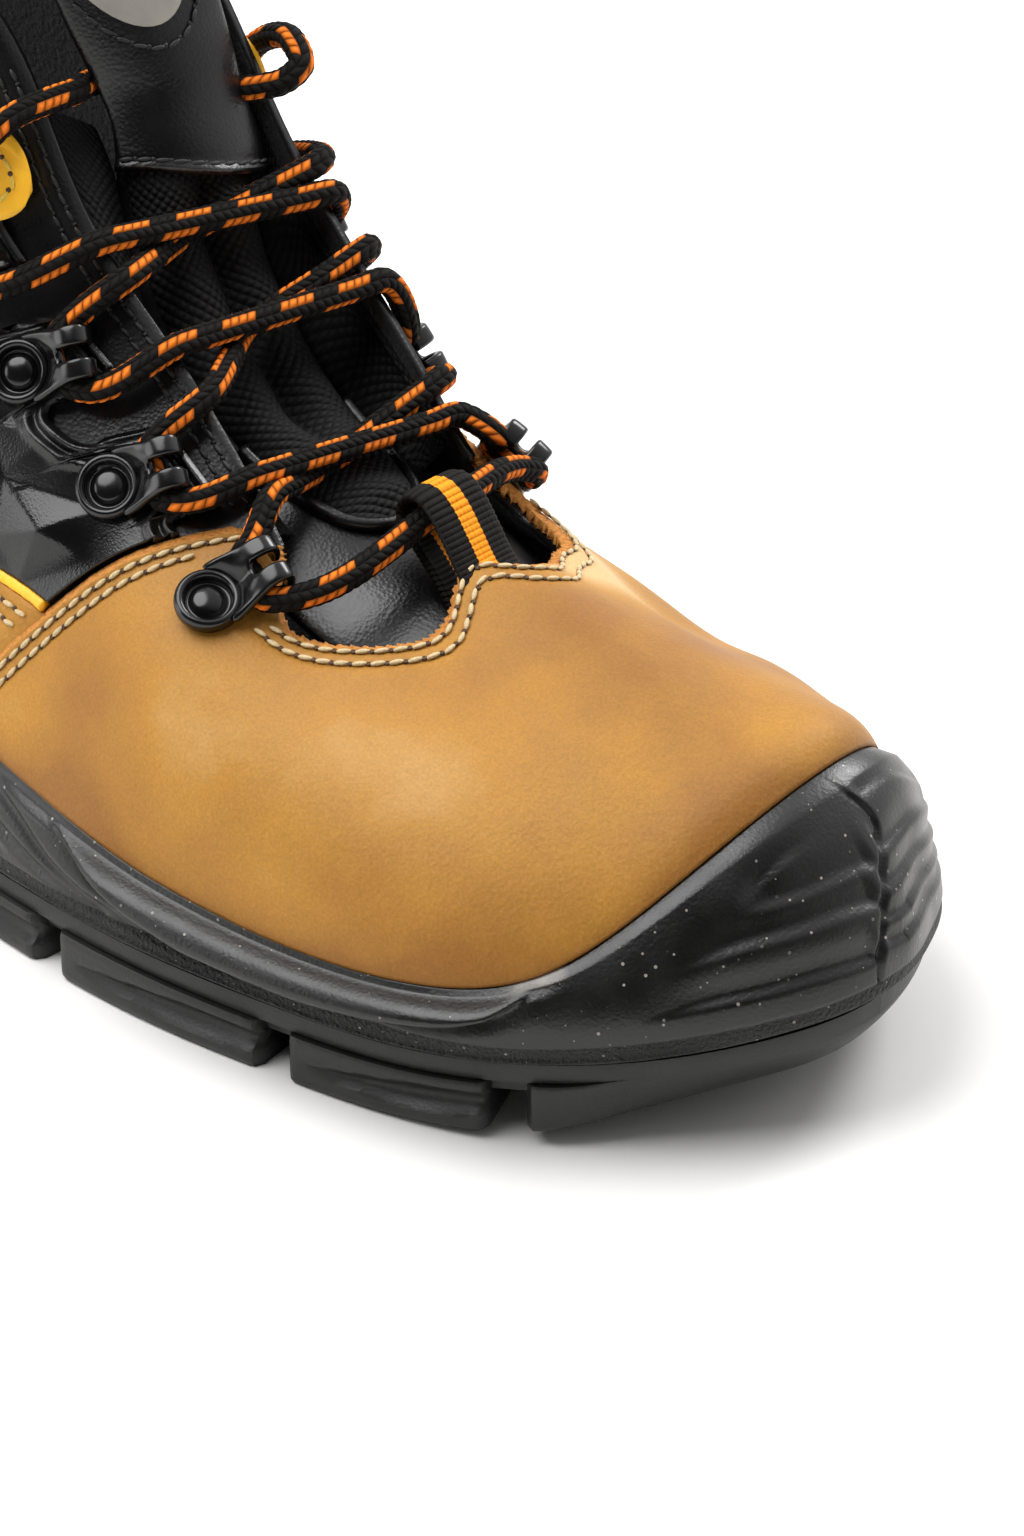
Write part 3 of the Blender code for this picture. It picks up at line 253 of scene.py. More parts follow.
# Moulded facets of a quarter: rib and level of each corner, and how far it stands out
FACETS = [(6.0, 2.0, 0.2), (6.0, 2.5, 0.3), (6.0, 3.05, 0.3), (6.0, 3.8, 0.3), (6.25, 2.05, 0.2),
          (6.42, 2.53, 2.6), (6.36, 2.97, 0.5), (6.45, 3.45, 0.4), (6.58, 2.27, 0.3), (6.80, 2.76, 0.2),
          (6.86, 3.22, 1.9), (7.06, 3.04, 0.3), (7.0, 3.8, 0.3), (7.0, 2.0, 0.2), (7.25, 2.55, 2.3),
          (7.45, 3.1, 0.5), (7.6, 2.1, 0.2), (7.75, 2.75, 1.8), (7.9, 3.45, 0.5), (8.1, 2.3, 0.3),
          (8.3, 3.0, 2.0), (8.6, 2.0, 0.2), (8.6, 3.8, 0.2), (8.75, 2.55, 1.9), (9.0, 3.1, 0.4),
          (9.35, 2.2, 0.3), (9.6, 2.8, 2.0), (9.6, 3.7, 0.2), (10.1, 2.4, 0.3), (10.3, 3.15, 1.3),
          (10.6, 2.0, 0.2), (10.7, 2.7, 1.7), (10.9, 3.6, 0.2), (11.2, 2.3, 0.3), (11.4, 3.0, 1.2),
          (12.0, 2.0, 0.1), (12.0, 2.7, 0.3), (12.0, 3.7, 0.1)]
# Ridges and grooves of its rim: height, distance from the edge and width
QUARTER_RIM = [(0.5, 1.1, 0.7), (-0.8, 2.4, 0.6), (0.9, 3.7, 0.9), (-0.5, 0.0, 0.5)]
# Notches in a quarter's front edge, between its hooks: rib of the middle, half width, level of the bottom
QUARTER_NOTCHES = [(6.05, 0.13, 3.30), (6.88, 0.19, 3.29), (7.58, 0.16, 3.34)]
QUARTER_FRONT = 3.74
QUARTER_FRONT_END = 8.15

# Tongue: middle of the face, half width, drop of the sides, turn to the outer side in degrees
TONGUE_COLUMNS = ("x", "y", "z", "half_width", "drop", "turn")
TONGUE = [(80, 12, 57.0, 21, 7, 0), (62, 12.5, 62.5, 24, 9, 0), (46, 13, 67.0, 25, 9, 0),
          (33, 13, 72.5, 25, 9, 0), (20, 13, 79.0, 23, 10, 0), (7, 13.5, 90.0, 20, 10, 4),
          (-4, 14.5, 106.0, 16, 9, 13), (-10.5, 16, 121, 14.5, 7, 22), (-17, 13.5, 139, 15.5, 5, 26),
          (-24, 11, 156, 15.5, 4, 27), (-29, 9.5, 170, 12.5, 3, 27)]

# Run of the tongue for its cloth, how its sides turn in and out, then the patch's slanting lower edge and the
# badge's middle, as shares of the tongue's length and half width, and the height of the gussets' fold
TONGUE_LENGTH = 190.0
TONGUE_HALF = 22.0
TONGUE_DRAWN_IN = 0.28
TONGUE_SPREAD = 0.2
PATCH_LOW = 0.697
PATCH_SLANT = 0.032
BADGE_SHARE = 0.93
BADGE_ACROSS = 0.12
GUSSET_FOLD = 5.5

# Lace hooks: rivet and arm end as rib and level
HOOKS = [(5.06, 3.26, 4.80, 3.92), (6.47, 3.19, 6.45, 3.70), (7.23, 3.39, 7.17, 3.71), (7.92, 3.33, 7.88, 3.61)]
INNER_HOOK_DROP = 0.08
# Height of each hook's foot above the upper's face
HOOK_STANDS = (3.0, 2.6, 2.6, 2.6)
# Round base with its rivet: radius and height of each turn
HOOK_BASE = [(0.0, 1.9), (1.2, 1.85), (2.2, 1.6), (2.8, 1.2), (3.1, 0.7), (3.2, 0.4), (3.8, 0.4), (4.0, 0.8),
             (4.15, 1.7), (4.4, 2.2), (4.9, 2.4), (5.4, 2.2), (5.75, 1.6), (5.85, 0.8), (5.75, 0.0)]
# Arms: distance from the rivet, height, half width
HOOK_ARMS = [(4.3, 1.3, 4.6), (5.2, 2.6, 5.3), (6.3, 4.1, 5.4), (7.6, 5.4, 5.2), (9.1, 6.5, 5.0), (10.7, 7.1, 4.9),
             (12.2, 7.1, 4.85), (13.4, 6.5, 4.8), (14.1, 5.3, 4.75), (14.3, 3.7, 4.7), (14.2, 2.0, 4.6)]
HOOK_RING = 4.9
HOOK_STRAIGHT = 8.5
HOOK_WALL = 1.6
HOOK_SLOT_START = 8.0
HOOK_SLOT_HALF = 1.0
HOOK_VALLEY = 1.0

# Lace: reach and height under the arms, half width of a hook, bend beside it, and how it rides over the throat's
# edges: places there of the strand on top and of the one below at each crossing, as rib on the outer and inner side
LACE_REACH = 8.6
LACE_LIFT = 1.9
LACE_CLEAR = 4.4
LACE_BEND = 1.5
LACE_TURN = 2.4
LACE_RISE = 0.5
LACE_OVER = 2.9
LACE_APART = 4.5
LACE_EASE = 7.0
CROSSING_SHARE = 0.36
TOP_STRANDS = [(6.31, 6.12), (7.06, 6.90), (7.70, 7.43)]
LOW_STRANDS = [(6.17, 6.35), (6.79, 7.08), (7.50, 7.60)]
BAR_OVER = (47.5, 36.5, 72.3)
BAR_MIDDLE = (52.0, 12.5, 75.5)
LACE_ENDS = {-1: [(-25.5, -20.0, 129.0), (-23.3, -14.0, 134.0), (-22.3, -6.0, 135.0), (-22.6, 1.0, 134.5),
                  (-26.0, 7.0, 133.0), (-27.5, 12.5, 131.5)],
             1: [(-26.0, 43.5, 124.0), (-18.0, 42.5, 132.5), (-9.0, 40.3, 135.5), (-4.2, 37.5, 132.8),
                 (-5.5, 34.5, 130.6), (-8.5, 32.0, 129.5), (-14.5, 29.5, 128.0)]}
LACE_SIDES = 20
LACE_RING = 0.5
# Shares up and out of the way over the throat's edges, and the way out of the throat
OVER_OUTER_EDGE = (0.75, 0.66)
OVER_INNER_EDGE = (0.8, 0.1)
THROAT_OUT = (0.62, -0.05, 0.78)
# Braid: columns round it, length of a stitch, depth between stitches; a dash is some stitches of a longer run
BRAID_COLUMNS = 8
BRAID_STEP = 1.75
BRAID_LEAN = 0.55
BRAID_DEPTH = 0.22
DASH_STITCHES = 4.0
DASH_RUN = 7.0
DASH_SHIFT = 2.0
# Webbing loop, folded flat round the lace's bar: x and z of its inner face
LOOP_PATH = [(67.0, 65.4), (64.4, 66.7), (62.0, 68.7), (58.3, 73.0), (54.4, 77.0), (52.4, 78.1), (50.4, 77.7),
             (49.3, 75.9), (49.8, 74.0), (51.8, 72.7), (56.5, 69.2), (60.5, 65.6), (63.0, 63.0)]
LOOP_SKEW = (49.0, 66.0, 12.4, 10.2)
LOOP_RIB_PITCH = 1.05

# Tab on each quarter: rib and level of its corners, from the tip's lower corner round
TAB_CORNERS = [(7.86, 3.80), (8.20, 3.98), (8.78, 3.52), (8.45, 3.28)]
TAB_LIFT = 2.9
TAB_TIP_LENGTH = 0.28
TAB_THICKNESS = 1.2
# Its stitches, as shares along and across it
TAB_ROW = [(1.0, 0.16), (0.35, 0.16), (0.14, 0.28), (0.09, 0.5), (0.14, 0.72), (0.35, 0.84), (1.0, 0.84)]

# Studio, in metres: floor, bright side of the sky with how near a direction lies to it and its glow there, and
# lights with place, size and power
FLOOR_HALF = 4.0
SKY_WAY = (-0.1, 0.85, 0.5)
SKY_RANGE = (-0.15, 0.8)
SKY_GLOW = (0.05, 1.0)
LIGHT_TARGET = (0.05, 0.0, 0.04)
SOFT_LIGHTS = [("overhead_softbox", (-0.3, -0.38, 1.05), 1.1, 16.0), ("back_softbox", (0.13, 0.95, 0.9), 0.55, 9.0),
               ("heel_side_softbox", (-0.8, -0.9, 0.3), 0.6, 3.0)]
# Camera
CAMERA_AZIMUTH = 42.0
CAMERA_ELEVATION = 31.0
CAMERA_DISTANCE = 850.0
CAMERA_TARGET = (90.0, -12.0, 50.0)
CAMERA_LENS = 120.0
CAMERA_SENSOR = 36.0
CAMERA_CLIP = (0.01, 20.0)


def linear(hex_colour):
    """Linear colour of an sRGB hex value."""
    values = [int(hex_colour[start:start + 2], 16) / 255 for start in (1, 3, 5)]
    return tuple(value / 12.92 if value <= 0.04045 else ((value + 0.055) / 1.055) ** 2.4 for value in values)


# Curves and surfaces

def hermite(start, end, start_slope, end_slope, u):
    """Point between two points of a smooth curve."""
    return ((2 * u**3 - 3 * u**2 + 1) * start + (u**3 - 2 * u**2 + u) * start_slope
            + (3 * u**2 - 2 * u**3) * end + (u**3 - u**2) * end_slope)


def slopes(points, closed=False):
    """Slopes of a smooth curve through the points, one for each of them."""
    count = len(points)
    ring = np.eye(count)
    if closed:
        system = 4 * ring + np.roll(ring, 1, 0) + np.roll(ring, -1, 0)
        steps = np.roll(points, -1, 0) - np.roll(points, 1, 0)
    else:
        system = 4 * ring + np.eye(count, k=1) + np.eye(count, k=-1)
        system[0, 0] = system[-1, -1] = 2
        steps = np.concatenate([points[1:2] - points[:1], points[2:] - points[:-2], points[-1:] - points[-2:-1]])
    return np.linalg.solve(system, 3 * steps.reshape(count, -1)).reshape(points.shape)


class SmoothTable:
    """Smooth curve through the rows of a table, read at places counted in rows."""

    def __init__(self, rows, closed=False):
        self.rows = np.array(rows, float)
        self.slopes = slopes(self.rows, closed)
        self.closed = closed

    def __call__(self, places):
        places = np.asarray(places, float)
        count = len(self.rows)
        first = np.floor(places).astype(int)
        if not self.closed:
            first = np.clip(first, 0, count - 2)
        u = (places - first).reshape(places.shape + (1,) * (self.rows.ndim - 1))
        a, b = first % count, (first + 1) % count
        return hermite(self.rows[a], self.rows[b], self.slopes[a], self.slopes[b], u)

    def spread(self, count):
        """Points evenly spread over the table's rows."""
        return self(np.linspace(0, len(self.rows) - 1, count))


def rib_column(name):
    index = RIB_COLUMNS.index(name)
    return np.array([row[index] for row in RIBS.values()], float)


NET = SmoothTable(np.stack([rib_column(level) for level in LEVELS], axis=1), closed=True)
LEVEL_SLOPES = slopes(np.eye(len(LEVELS)))
PLAN = SmoothTable(rib_column("sole"), closed=True)
CUFF = SmoothTable(rib_column("cuff"), closed=True)
BULGE = SmoothTable(rib_column("bulge"), closed=True)
TONGUE_TABLE = SmoothTable(TONGUE)


def unit(vectors):
    return vectors / np.linalg.norm(vectors, axis=-1, keepdims=True)


def skin(rib, level):
    """Points of the upper's outer face."""
    rib, level = np.broadcast_arrays(np.asarray(rib, float), np.asarray(level, float))
    net = NET(rib.ravel())
    tilt = np.einsum("ij,njk->nik", LEVEL_SLOPES, net)
    first = np.clip(np.floor(level.ravel()).astype(int), 0, len(LEVELS) - 2)
    spot = np.arange(first.size)
    u = (level.ravel() - first)[:, None]
    points = hermite(net[spot, first], net[spot, first + 1], tilt[spot, first], tilt[spot, first + 1], u)
    x, y, length, width, depth = VAMP_HOLLOW
    points[:, 2] -= depth * np.exp(-((points[:, 0] - x) / length) ** 2 - ((points[:, 1] - y) / width) ** 2)
    return points.reshape(rib.shape + (3,)) + FRAME_SHIFT


def skin_normal(rib, level):
    """Outward directions of the upper's outer face."""
    rib, level = np.broadcast_arrays(np.asarray(rib, float), np.asarray(level, float))
    up = skin(rib, np.minimum(level + PROBE, TOP)) - skin(rib, np.maximum(level - PROBE, FEATHER))
    onward = skin(rib + PROBE, level) - skin(rib - PROBE, level)
    return unit(np.cross(up, onward))


def lifted(rib, level, height):
    """Points at a height above the upper's outer face."""
    return skin(rib, level) + skin_normal(rib, level) * np.asarray(height, float)[..., None]


def level_step(rib, level, distance):
    """Change of level that runs a distance up the surface."""
    return distance * PROBE / np.linalg.norm(skin(rib, level + PROBE) - skin(rib, level), axis=-1)


def rib_step(rib, level, distance):
    """Change of rib that runs a distance round the surface."""
    return distance * PROBE / np.linalg.norm(skin(rib + PROBE, level) - skin(rib, level), axis=-1)


def plan(rib):
    return PLAN(rib) + FRAME_SHIFT[:2]


def plan_normal(rib):
    """Outward directions of the sole's outline, seen from above."""
    run = PLAN(rib + PROBE) - PLAN(rib - PROBE)
    return unit(np.stack([-run[..., 1], run[..., 0]], axis=-1))


def spring(x):
    """Rise of the sole's underside towards the toe."""
    return TOE_SPRING * (np.maximum(x - SPRING_START, 0.0) / (HALF_SOLE - SPRING_START)) ** 2


def lip(rib, rise=0.0):
    """Level at a rise above the foam's lip, which climbs behind the ball on the outer side."""
    return LIP + level_step(rib, LIP, LIP_CLIMB * hump(*LIP_CLIMB_RIBS, rib) + rise)


def sole_wall(rib, height):
    """Points of the foam's wall before its moulded detail: share of the height from the outsole to the lip."""
    rib, height = np.broadcast_arrays(np.asarray(rib, float), np.asarray(height, float))
    edge = plan(rib)
    bottom = np.concatenate([edge, (OUTSOLE_HEIGHT + GAP + spring(edge[..., 0]))[..., None]], axis=-1)
    top = lifted(rib, lip(rib), GAP + LIP_THICKNESS)
    tuck = np.maximum(0.0, 1.0 - height / SWELL_FOOT) ** 2
    swell = BULGE(rib) * (1.0 - ((height - SWELL_MIDDLE) / SWELL_REACH) ** 2 - 0.9 * tuck)
    out = np.concatenate([plan_normal(rib), np.zeros(rib.shape + (1,))], axis=-1)
    return bottom + (top - bottom) * height[..., None] + out * swell[..., None], out


def tongue_frame(share, across):
    """Points of the tongue's face and its outward directions: share of its length, place across from -1 to 1."""
    place = share * (len(TONGUE) - 1)
    row = dict(zip(TONGUE_COLUMNS, np.moveaxis(TONGUE_TABLE(place), -1, 0)))
    run = TONGUE_TABLE(place + PROBE) - TONGUE_TABLE(place - PROBE)
    turn = np.radians(row["turn"])
    sine, cosine = np.sin(turn), np.cos(turn)
    side = np.stack([sine, cosine, np.zeros_like(sine)], axis=-1)
    face = unit(np.stack([run[..., 2] * cosine, -run[..., 2] * sine, -run[..., 0]], axis=-1))
    middle = np.stack([row["x"], row["y"], row["z"]], axis=-1) + FRAME_SHIFT
    points = middle + side * (across * row["half_width"])[..., None] - face * (row["drop"] * across**2)[..., None]
    tilt = unit(face + side * (2 * row["drop"] * across / row["half_width"])[..., None])
    return points, tilt


def tongue_point(share, across, lift):
    points, tilt = tongue_frame(np.asarray(share, float), np.asarray(across, float))
    return points + tilt * np.asarray(lift, float)[..., None]


def smooth_step(low, high, values):
    share = np.clip((values - low) / (high - low), 0.0, 1.0)
    return share * share * (3 - 2 * share)


def hump(start, full, ease, end, values):
    """Rises to one between the first two places, and falls to none between the last two."""
    return smooth_step(start, full, values) * (1 - smooth_step(ease, end, values))


def bell(values, middle, width):
    return np.exp(-((values - middle) / width) ** 2)


def on_side(rib, side):
    """Rib on the outer side, with side -1, or its like on the inner side, with 1."""
    return rib if side < 0 else RIB_COUNT - rib


def run_along(line):
    """Distance of each point along a line of points."""
    return np.concatenate([[0.0], np.cumsum(np.linalg.norm(np.diff(line, axis=0), axis=1))])


def lay(along, across):
    """Value that carries a cloth's weave, in millimetres."""
    return {"lay": np.stack([along, across, 0 * along], axis=-1)}


def distance_to(points, line, reach):
    """Distance of each point from a line of points, as far as it is within reach."""
    best = np.full(len(points), 2.0 * reach)
    near = np.all((points > line.min(axis=0) - reach) & (points < line.max(axis=0) + reach), axis=1)
    for part in np.array_split(line, max(1, len(line) // 48)):
        away = np.linalg.norm(points[near][:, None] - part[None], axis=2).min(axis=1)
        best[near] = np.minimum(best[near], away)
    return best


def closeness(points, line, width):
    """One on a line of points, falling to none a few widths away."""
    return np.exp(-(distance_to(points, line, 4 * width) / width) ** 2)


def wobble(points, size, seed):
    """Slow smooth unevenness between -1 and 1, with waves of about the given size."""
    random = np.random.default_rng(seed)
    total = np.zeros(len(points))
    for _ in range(6):
        way = unit(random.normal(size=3)) * (2 * math.pi / (size * random.uniform(0.7, 1.5)))
        total += np.sin(points @ way + random.uniform(0, 2 * math.pi))
    return total / 6


def evenly(line, pitch):
    """Rows of a table at even distances along its first three columns."""
    run = run_along(line[:, :3])
    count = max(1, int(round(run[-1] / pitch)))
    at = (np.arange(count) + 0.5) * run[-1] / count
    return np.stack([np.interp(at, run, values) for values in line.T], axis=-1)


def smooth_path(points, spacing):
    """Spots along a smooth curve through points that lie unevenly apart."""
    table = np.array(points, float)
    steps = np.diff(table, axis=0)
    lengths = np.linalg.norm(steps, axis=1)[:, None]
    rates = steps / lengths
    way = np.empty_like(table)
    way[1:-1] = (lengths[1:] * rates[:-1] + lengths[:-1] * rates[1:]) / (lengths[:-1] + lengths[1:])
    way[0], way[-1] = rates[0], rates[-1]
    spots = []
    for index, length in enumerate(lengths[:, 0]):
        count = max(1, round(length / spacing))
        u = (np.arange(count) / count)[:, None]
        spots.append(hermite(table[index], table[index + 1], way[index] * length, way[index + 1] * length, u))
    return np.concatenate(spots + [table[-1:]])


# Meshes and pieces

def mapped_sheet(segments, place, closed=False, flip=False):
    """Grid whose points place() gives in millimetres, from two shares of its length, with values for its points."""
    bm = bmesh.new()
    bmesh.ops.create_grid(bm, x_segments=segments[0], y_segments=segments[1], size=0.5)
    spots = np.array([vert.co[:2] for vert in bm.verts]) + 0.5
    points, values = place(spots[:, 0], spots[:, 1])
    layers = {name: (bm.verts.layers.float if np.ndim(row) == 1 else bm.verts.layers.float_vector).new(name)
              for name, row in values.items()}
    bm.verts.ensure_lookup_table()
    for vert, point in zip(bm.verts, points * MM):
        vert.co = point
    for name, row in values.items():
        layer = layers[name]
        for vert, value in zip(bm.verts, row):
            vert[layer] = value if np.ndim(row) == 1 else Vector(value)
    if closed:
        bmesh.ops.remove_doubles(bm, verts=bm.verts, dist=MERGE * MM)
    if flip:
        bmesh.ops.reverse_faces(bm, faces=bm.faces)
    return bm


def close_ends(bm):
    bmesh.ops.holes_fill(bm, edges=[edge for edge in bm.edges if edge.is_boundary])


def put_in(name, data):
    """Object of a mesh, a light or a camera, in the scene."""
    obj = bpy.data.objects.new(name, data)
    bpy.context.scene.collection.objects.link(obj)
    return obj


def new_mesh(name, bm):
    """Mesh of a finished bmesh."""
    mesh = bpy.data.meshes.new(name)
    bm.to_mesh(mesh)
    bm.free()
    return mesh


def add_piece(name, bm, materials, stands_for=()):
    """Object of a finished bmesh, riding on the shoe and shown in place of its solids."""
    mesh = new_mesh(name, bm)
    mesh.shade_smooth()
    for material in materials:
        mesh.materials.append(material)
    obj = put_in(name, mesh)
    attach(obj, "root")
    if stands_for:
        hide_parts(*stands_for)
    return obj


def thicken(obj, thickness, inner=0, rim=0):
    """Wall of a sheet in millimetres behind its face, with material steps for its far side and its rim."""
    wall = obj.modifiers.new("wall", "SOLIDIFY")
    wall.thickness = thickness * MM
    wall.offset = -1.0
    wall.material_offset = inner
    wall.material_offset_rim = rim


def soften(obj, width):
    """Rounded edges, in millimetres."""
    bevel = obj.modifiers.new("soft edges", "BEVEL")
    bevel.width = width * MM
    bevel.segments = 2
    bevel.limit_method = "ANGLE"
    bevel.angle_limit = math.radians(40)


def carried_frames(line):
    """Two directions across a line of points, carried along it without twist."""
    ways = unit(np.gradient(line, axis=0))
    first = np.cross(ways[0], (0.0, 0.0, 1.0))
    across = [first / np.linalg.norm(first)]
    for way in ways[1:]:
        side = across[-1] - way * across[-1].dot(way)
        across.append(side / np.linalg.norm(side))
    across = np.array(across)
    return across, np.cross(ways, across)


def tube_bmesh(line, sides, radius_at):
    """Closed tube along points, with its radius and values from the run along it and the angle round it."""
    across, over = carried_frames(line)
    run = run_along(line)
    last = len(line) - 1

    def place(turn, along):
        index = np.round(along * last).astype(int)
        angle = turn * 2 * math.pi
        radius, values = radius_at(run[index], angle)
        out = across[index] * np.cos(angle)[:, None] + over[index] * np.sin(angle)[:, None]
        return line[index] + out * radius[:, None], values

    bm = mapped_sheet((sides, last), place, closed=True)
    close_ends(bm)
    return bm


def stitches_bmesh(rows, length, thickness, lean=0.14):
    """Threads lying along rows of points, each row with its outward directions in its last three columns."""
    bm = bmesh.new()
    for row in rows:
        ways = unit(np.gradient(row[:, :3], axis=0)) if len(row) > 1 else np.array([[1.0, 0.0, 0.0]])
        for spot, way in zip(row, ways):
            out = spot[3:6] / np.linalg.norm(spot[3:6])
            side = np.cross(out, way)
            way = way * math.cos(lean) + side * math.sin(lean)
            side = np.cross(out, way)
            columns = (side * thickness / 2, out * thickness * 0.42, way * length / 2)
            turn = Matrix(np.array(columns).T * MM).to_4x4()
            spot_matrix = Matrix.Translation(Vector(spot[:3]) * MM) @ turn
            bmesh.ops.create_uvsphere(bm, u_segments=8, v_segments=6, radius=1.0, matrix=spot_matrix)
    bmesh.ops.recalc_face_normals(bm, faces=bm.faces)
    return bm


def skin_row(places, height):
    """Dense row on the upper from a smooth curve of ribs and levels, with its outward directions."""
    spots = SmoothTable(places).spread(60 * len(places))
    return np.concatenate([lifted(*spots.T, height), skin_normal(*spots.T)], axis=1)


# Materials

def feed(tree, node, inputs):
    """Sets a node's inputs to values, or links them to sockets or to the first output in use of other nodes."""
    for name, value in inputs.items():
        if isinstance(value, bpy.types.Node):
            value = next(socket for socket in value.outputs if socket.enabled)
        if isinstance(value, bpy.types.NodeSocket):
            tree.links.new(value, node.inputs[name])
        else:
            node.inputs[name].default_value = value


def add(tree, kind, inputs=(), **settings):
    """Shader node with its settings and its inputs."""
    node = tree.nodes.new(f"ShaderNode{kind}")
    for name, value in settings.items():
        setattr(node, name, value)
    feed(tree, node, dict(inputs))
    return node


def per_mm(size):
    """Texture scale that repeats at a size in millimetres, on coordinates in metres."""
    return 1.0 / (size * MM)


def rgba(colour, scale=1.0):
    return (*(scale * value for value in colour), 1)


def between(low, high, start=0.0, end=1.0):
    """Limits of a range that is mapped to another."""
    return {"From Min": low, "From Max": high, "To Min": start, "To Max": end}


def set_stops(ramp, *rows):
    """Gives a colour ramp its stops, as positions and colours."""
    stops = ramp.color_ramp.elements
    for position, _ in rows[1:-1]:
        stops.new(position)
    for stop, (position, colour) in zip(stops, rows):
        stop.position, stop.color = position, colour


def tan_leather(tree, shader, colours):
    """Oiled full-grain leather: a warm even tan with its own paler and deeper patches, painted highlights and painted
    shade from a value on the mesh, and fine pores.
    """
    place = add(tree, "TexCoord").outputs["Object"]
    tone_and_painted_light = add(tree, "Attribute", attribute_name="tone_and_painted_light").outputs["Fac"]
    cloud = add(tree, "TexNoise", {"Vector": place, "Scale": per_mm(26), "Detail": 4.0})
    calm = add(tree, "Math", {0: cloud, 1: 0.8, 2: 0.12}, operation="MULTIPLY_ADD")
    # The value on the mesh carries the leather's own tone together with painted highlights and painted shade.
    shade = add(tree, "Math", {0: calm, 1: tone_and_painted_light}, operation="ADD")
    ramp = add(tree, "ValToRGB", {"Fac": shade})
    set_stops(ramp, (0.25, rgba(colours.tan_deep_and_shade)), (0.58, rgba(colours.tan)), (1.0, rgba(colours.tan_pale_and_highlight)))
    pores = add(tree, "TexVoronoi", {"Vector": place, "Scale": per_mm(1.1)})
    fine = add(tree, "TexNoise", {"Vector": place, "Scale": per_mm(0.5), "Detail": 3.0})
    speck = add(tree, "MapRange", {"Value": fine, **between(0.35, 0.7, 0.9, 1.08)})
    colour = add(tree, "VectorMath", {0: ramp, "Scale": speck}, operation="SCALE")
    gloss = add(tree, "MapRange", {"Value": cloud, **between(0.3, 0.7, 0.5, 0.64)})
    grain = add(tree, "Math", {0: pores, 1: fine}, operation="ADD")
    bump = add(tree, "Bump", {"Height": grain, "Strength": 0.5, "Distance": 0.14 * MM})
    feed(tree, shader, {"Base Color": colour, "Roughness": gloss, "Normal": bump, "IOR": 1.4})


def raw_leather(tree, shader, colour):
    """Cut edge of the tan leather: rough orange-brown fibre."""
    place = add(tree, "TexCoord").outputs["Object"]
    fibre = add(tree, "TexNoise", {"Vector": place, "Scale": per_mm(0.7), "Detail": 5.0})
    ramp = add(tree, "ValToRGB", {"Fac": fibre})
    set_stops(ramp, (0.3, rgba(colour, 0.5)), (0.58, rgba(colour)))
    bump = add(tree, "Bump", {"Height": fibre, "Strength": 0.8, "Distance": 0.3 * MM})
    feed(tree, shader, {"Base Color": ramp, "Normal": bump, "Roughness": 0.85})


def grained(tree, shader, colour, roughness, grain_mm, depth_mm):
    """Coloured leather or moulded skin with an even grain, and slow changes of gloss."""
    place = add(tree, "TexCoord").outputs["Object"]
    cells = add(tree, "TexVoronoi", {"Vector": place, "Scale": per_mm(grain_mm)})
    cloud = add(tree, "TexNoise", {"Vector": place, "Scale": per_mm(14), "Detail": 5.0})
    gloss = add(tree, "MapRange", {"Value": cloud, **between(0.3, 0.7, roughness - 0.07, roughness + 0.09)})
    ramp = add(tree, "ValToRGB", {"Fac": cloud})
    set_stops(ramp, (0.3, rgba(colour, 0.75)), (0.7, rgba(colour, 1.2)))
    bump = add(tree, "Bump", {"Height": cells, "Strength": 0.5, "Distance": depth_mm * MM})
    feed(tree, shader, {"Base Color": ramp, "Roughness": gloss, "Normal": bump, "IOR": 1.5})


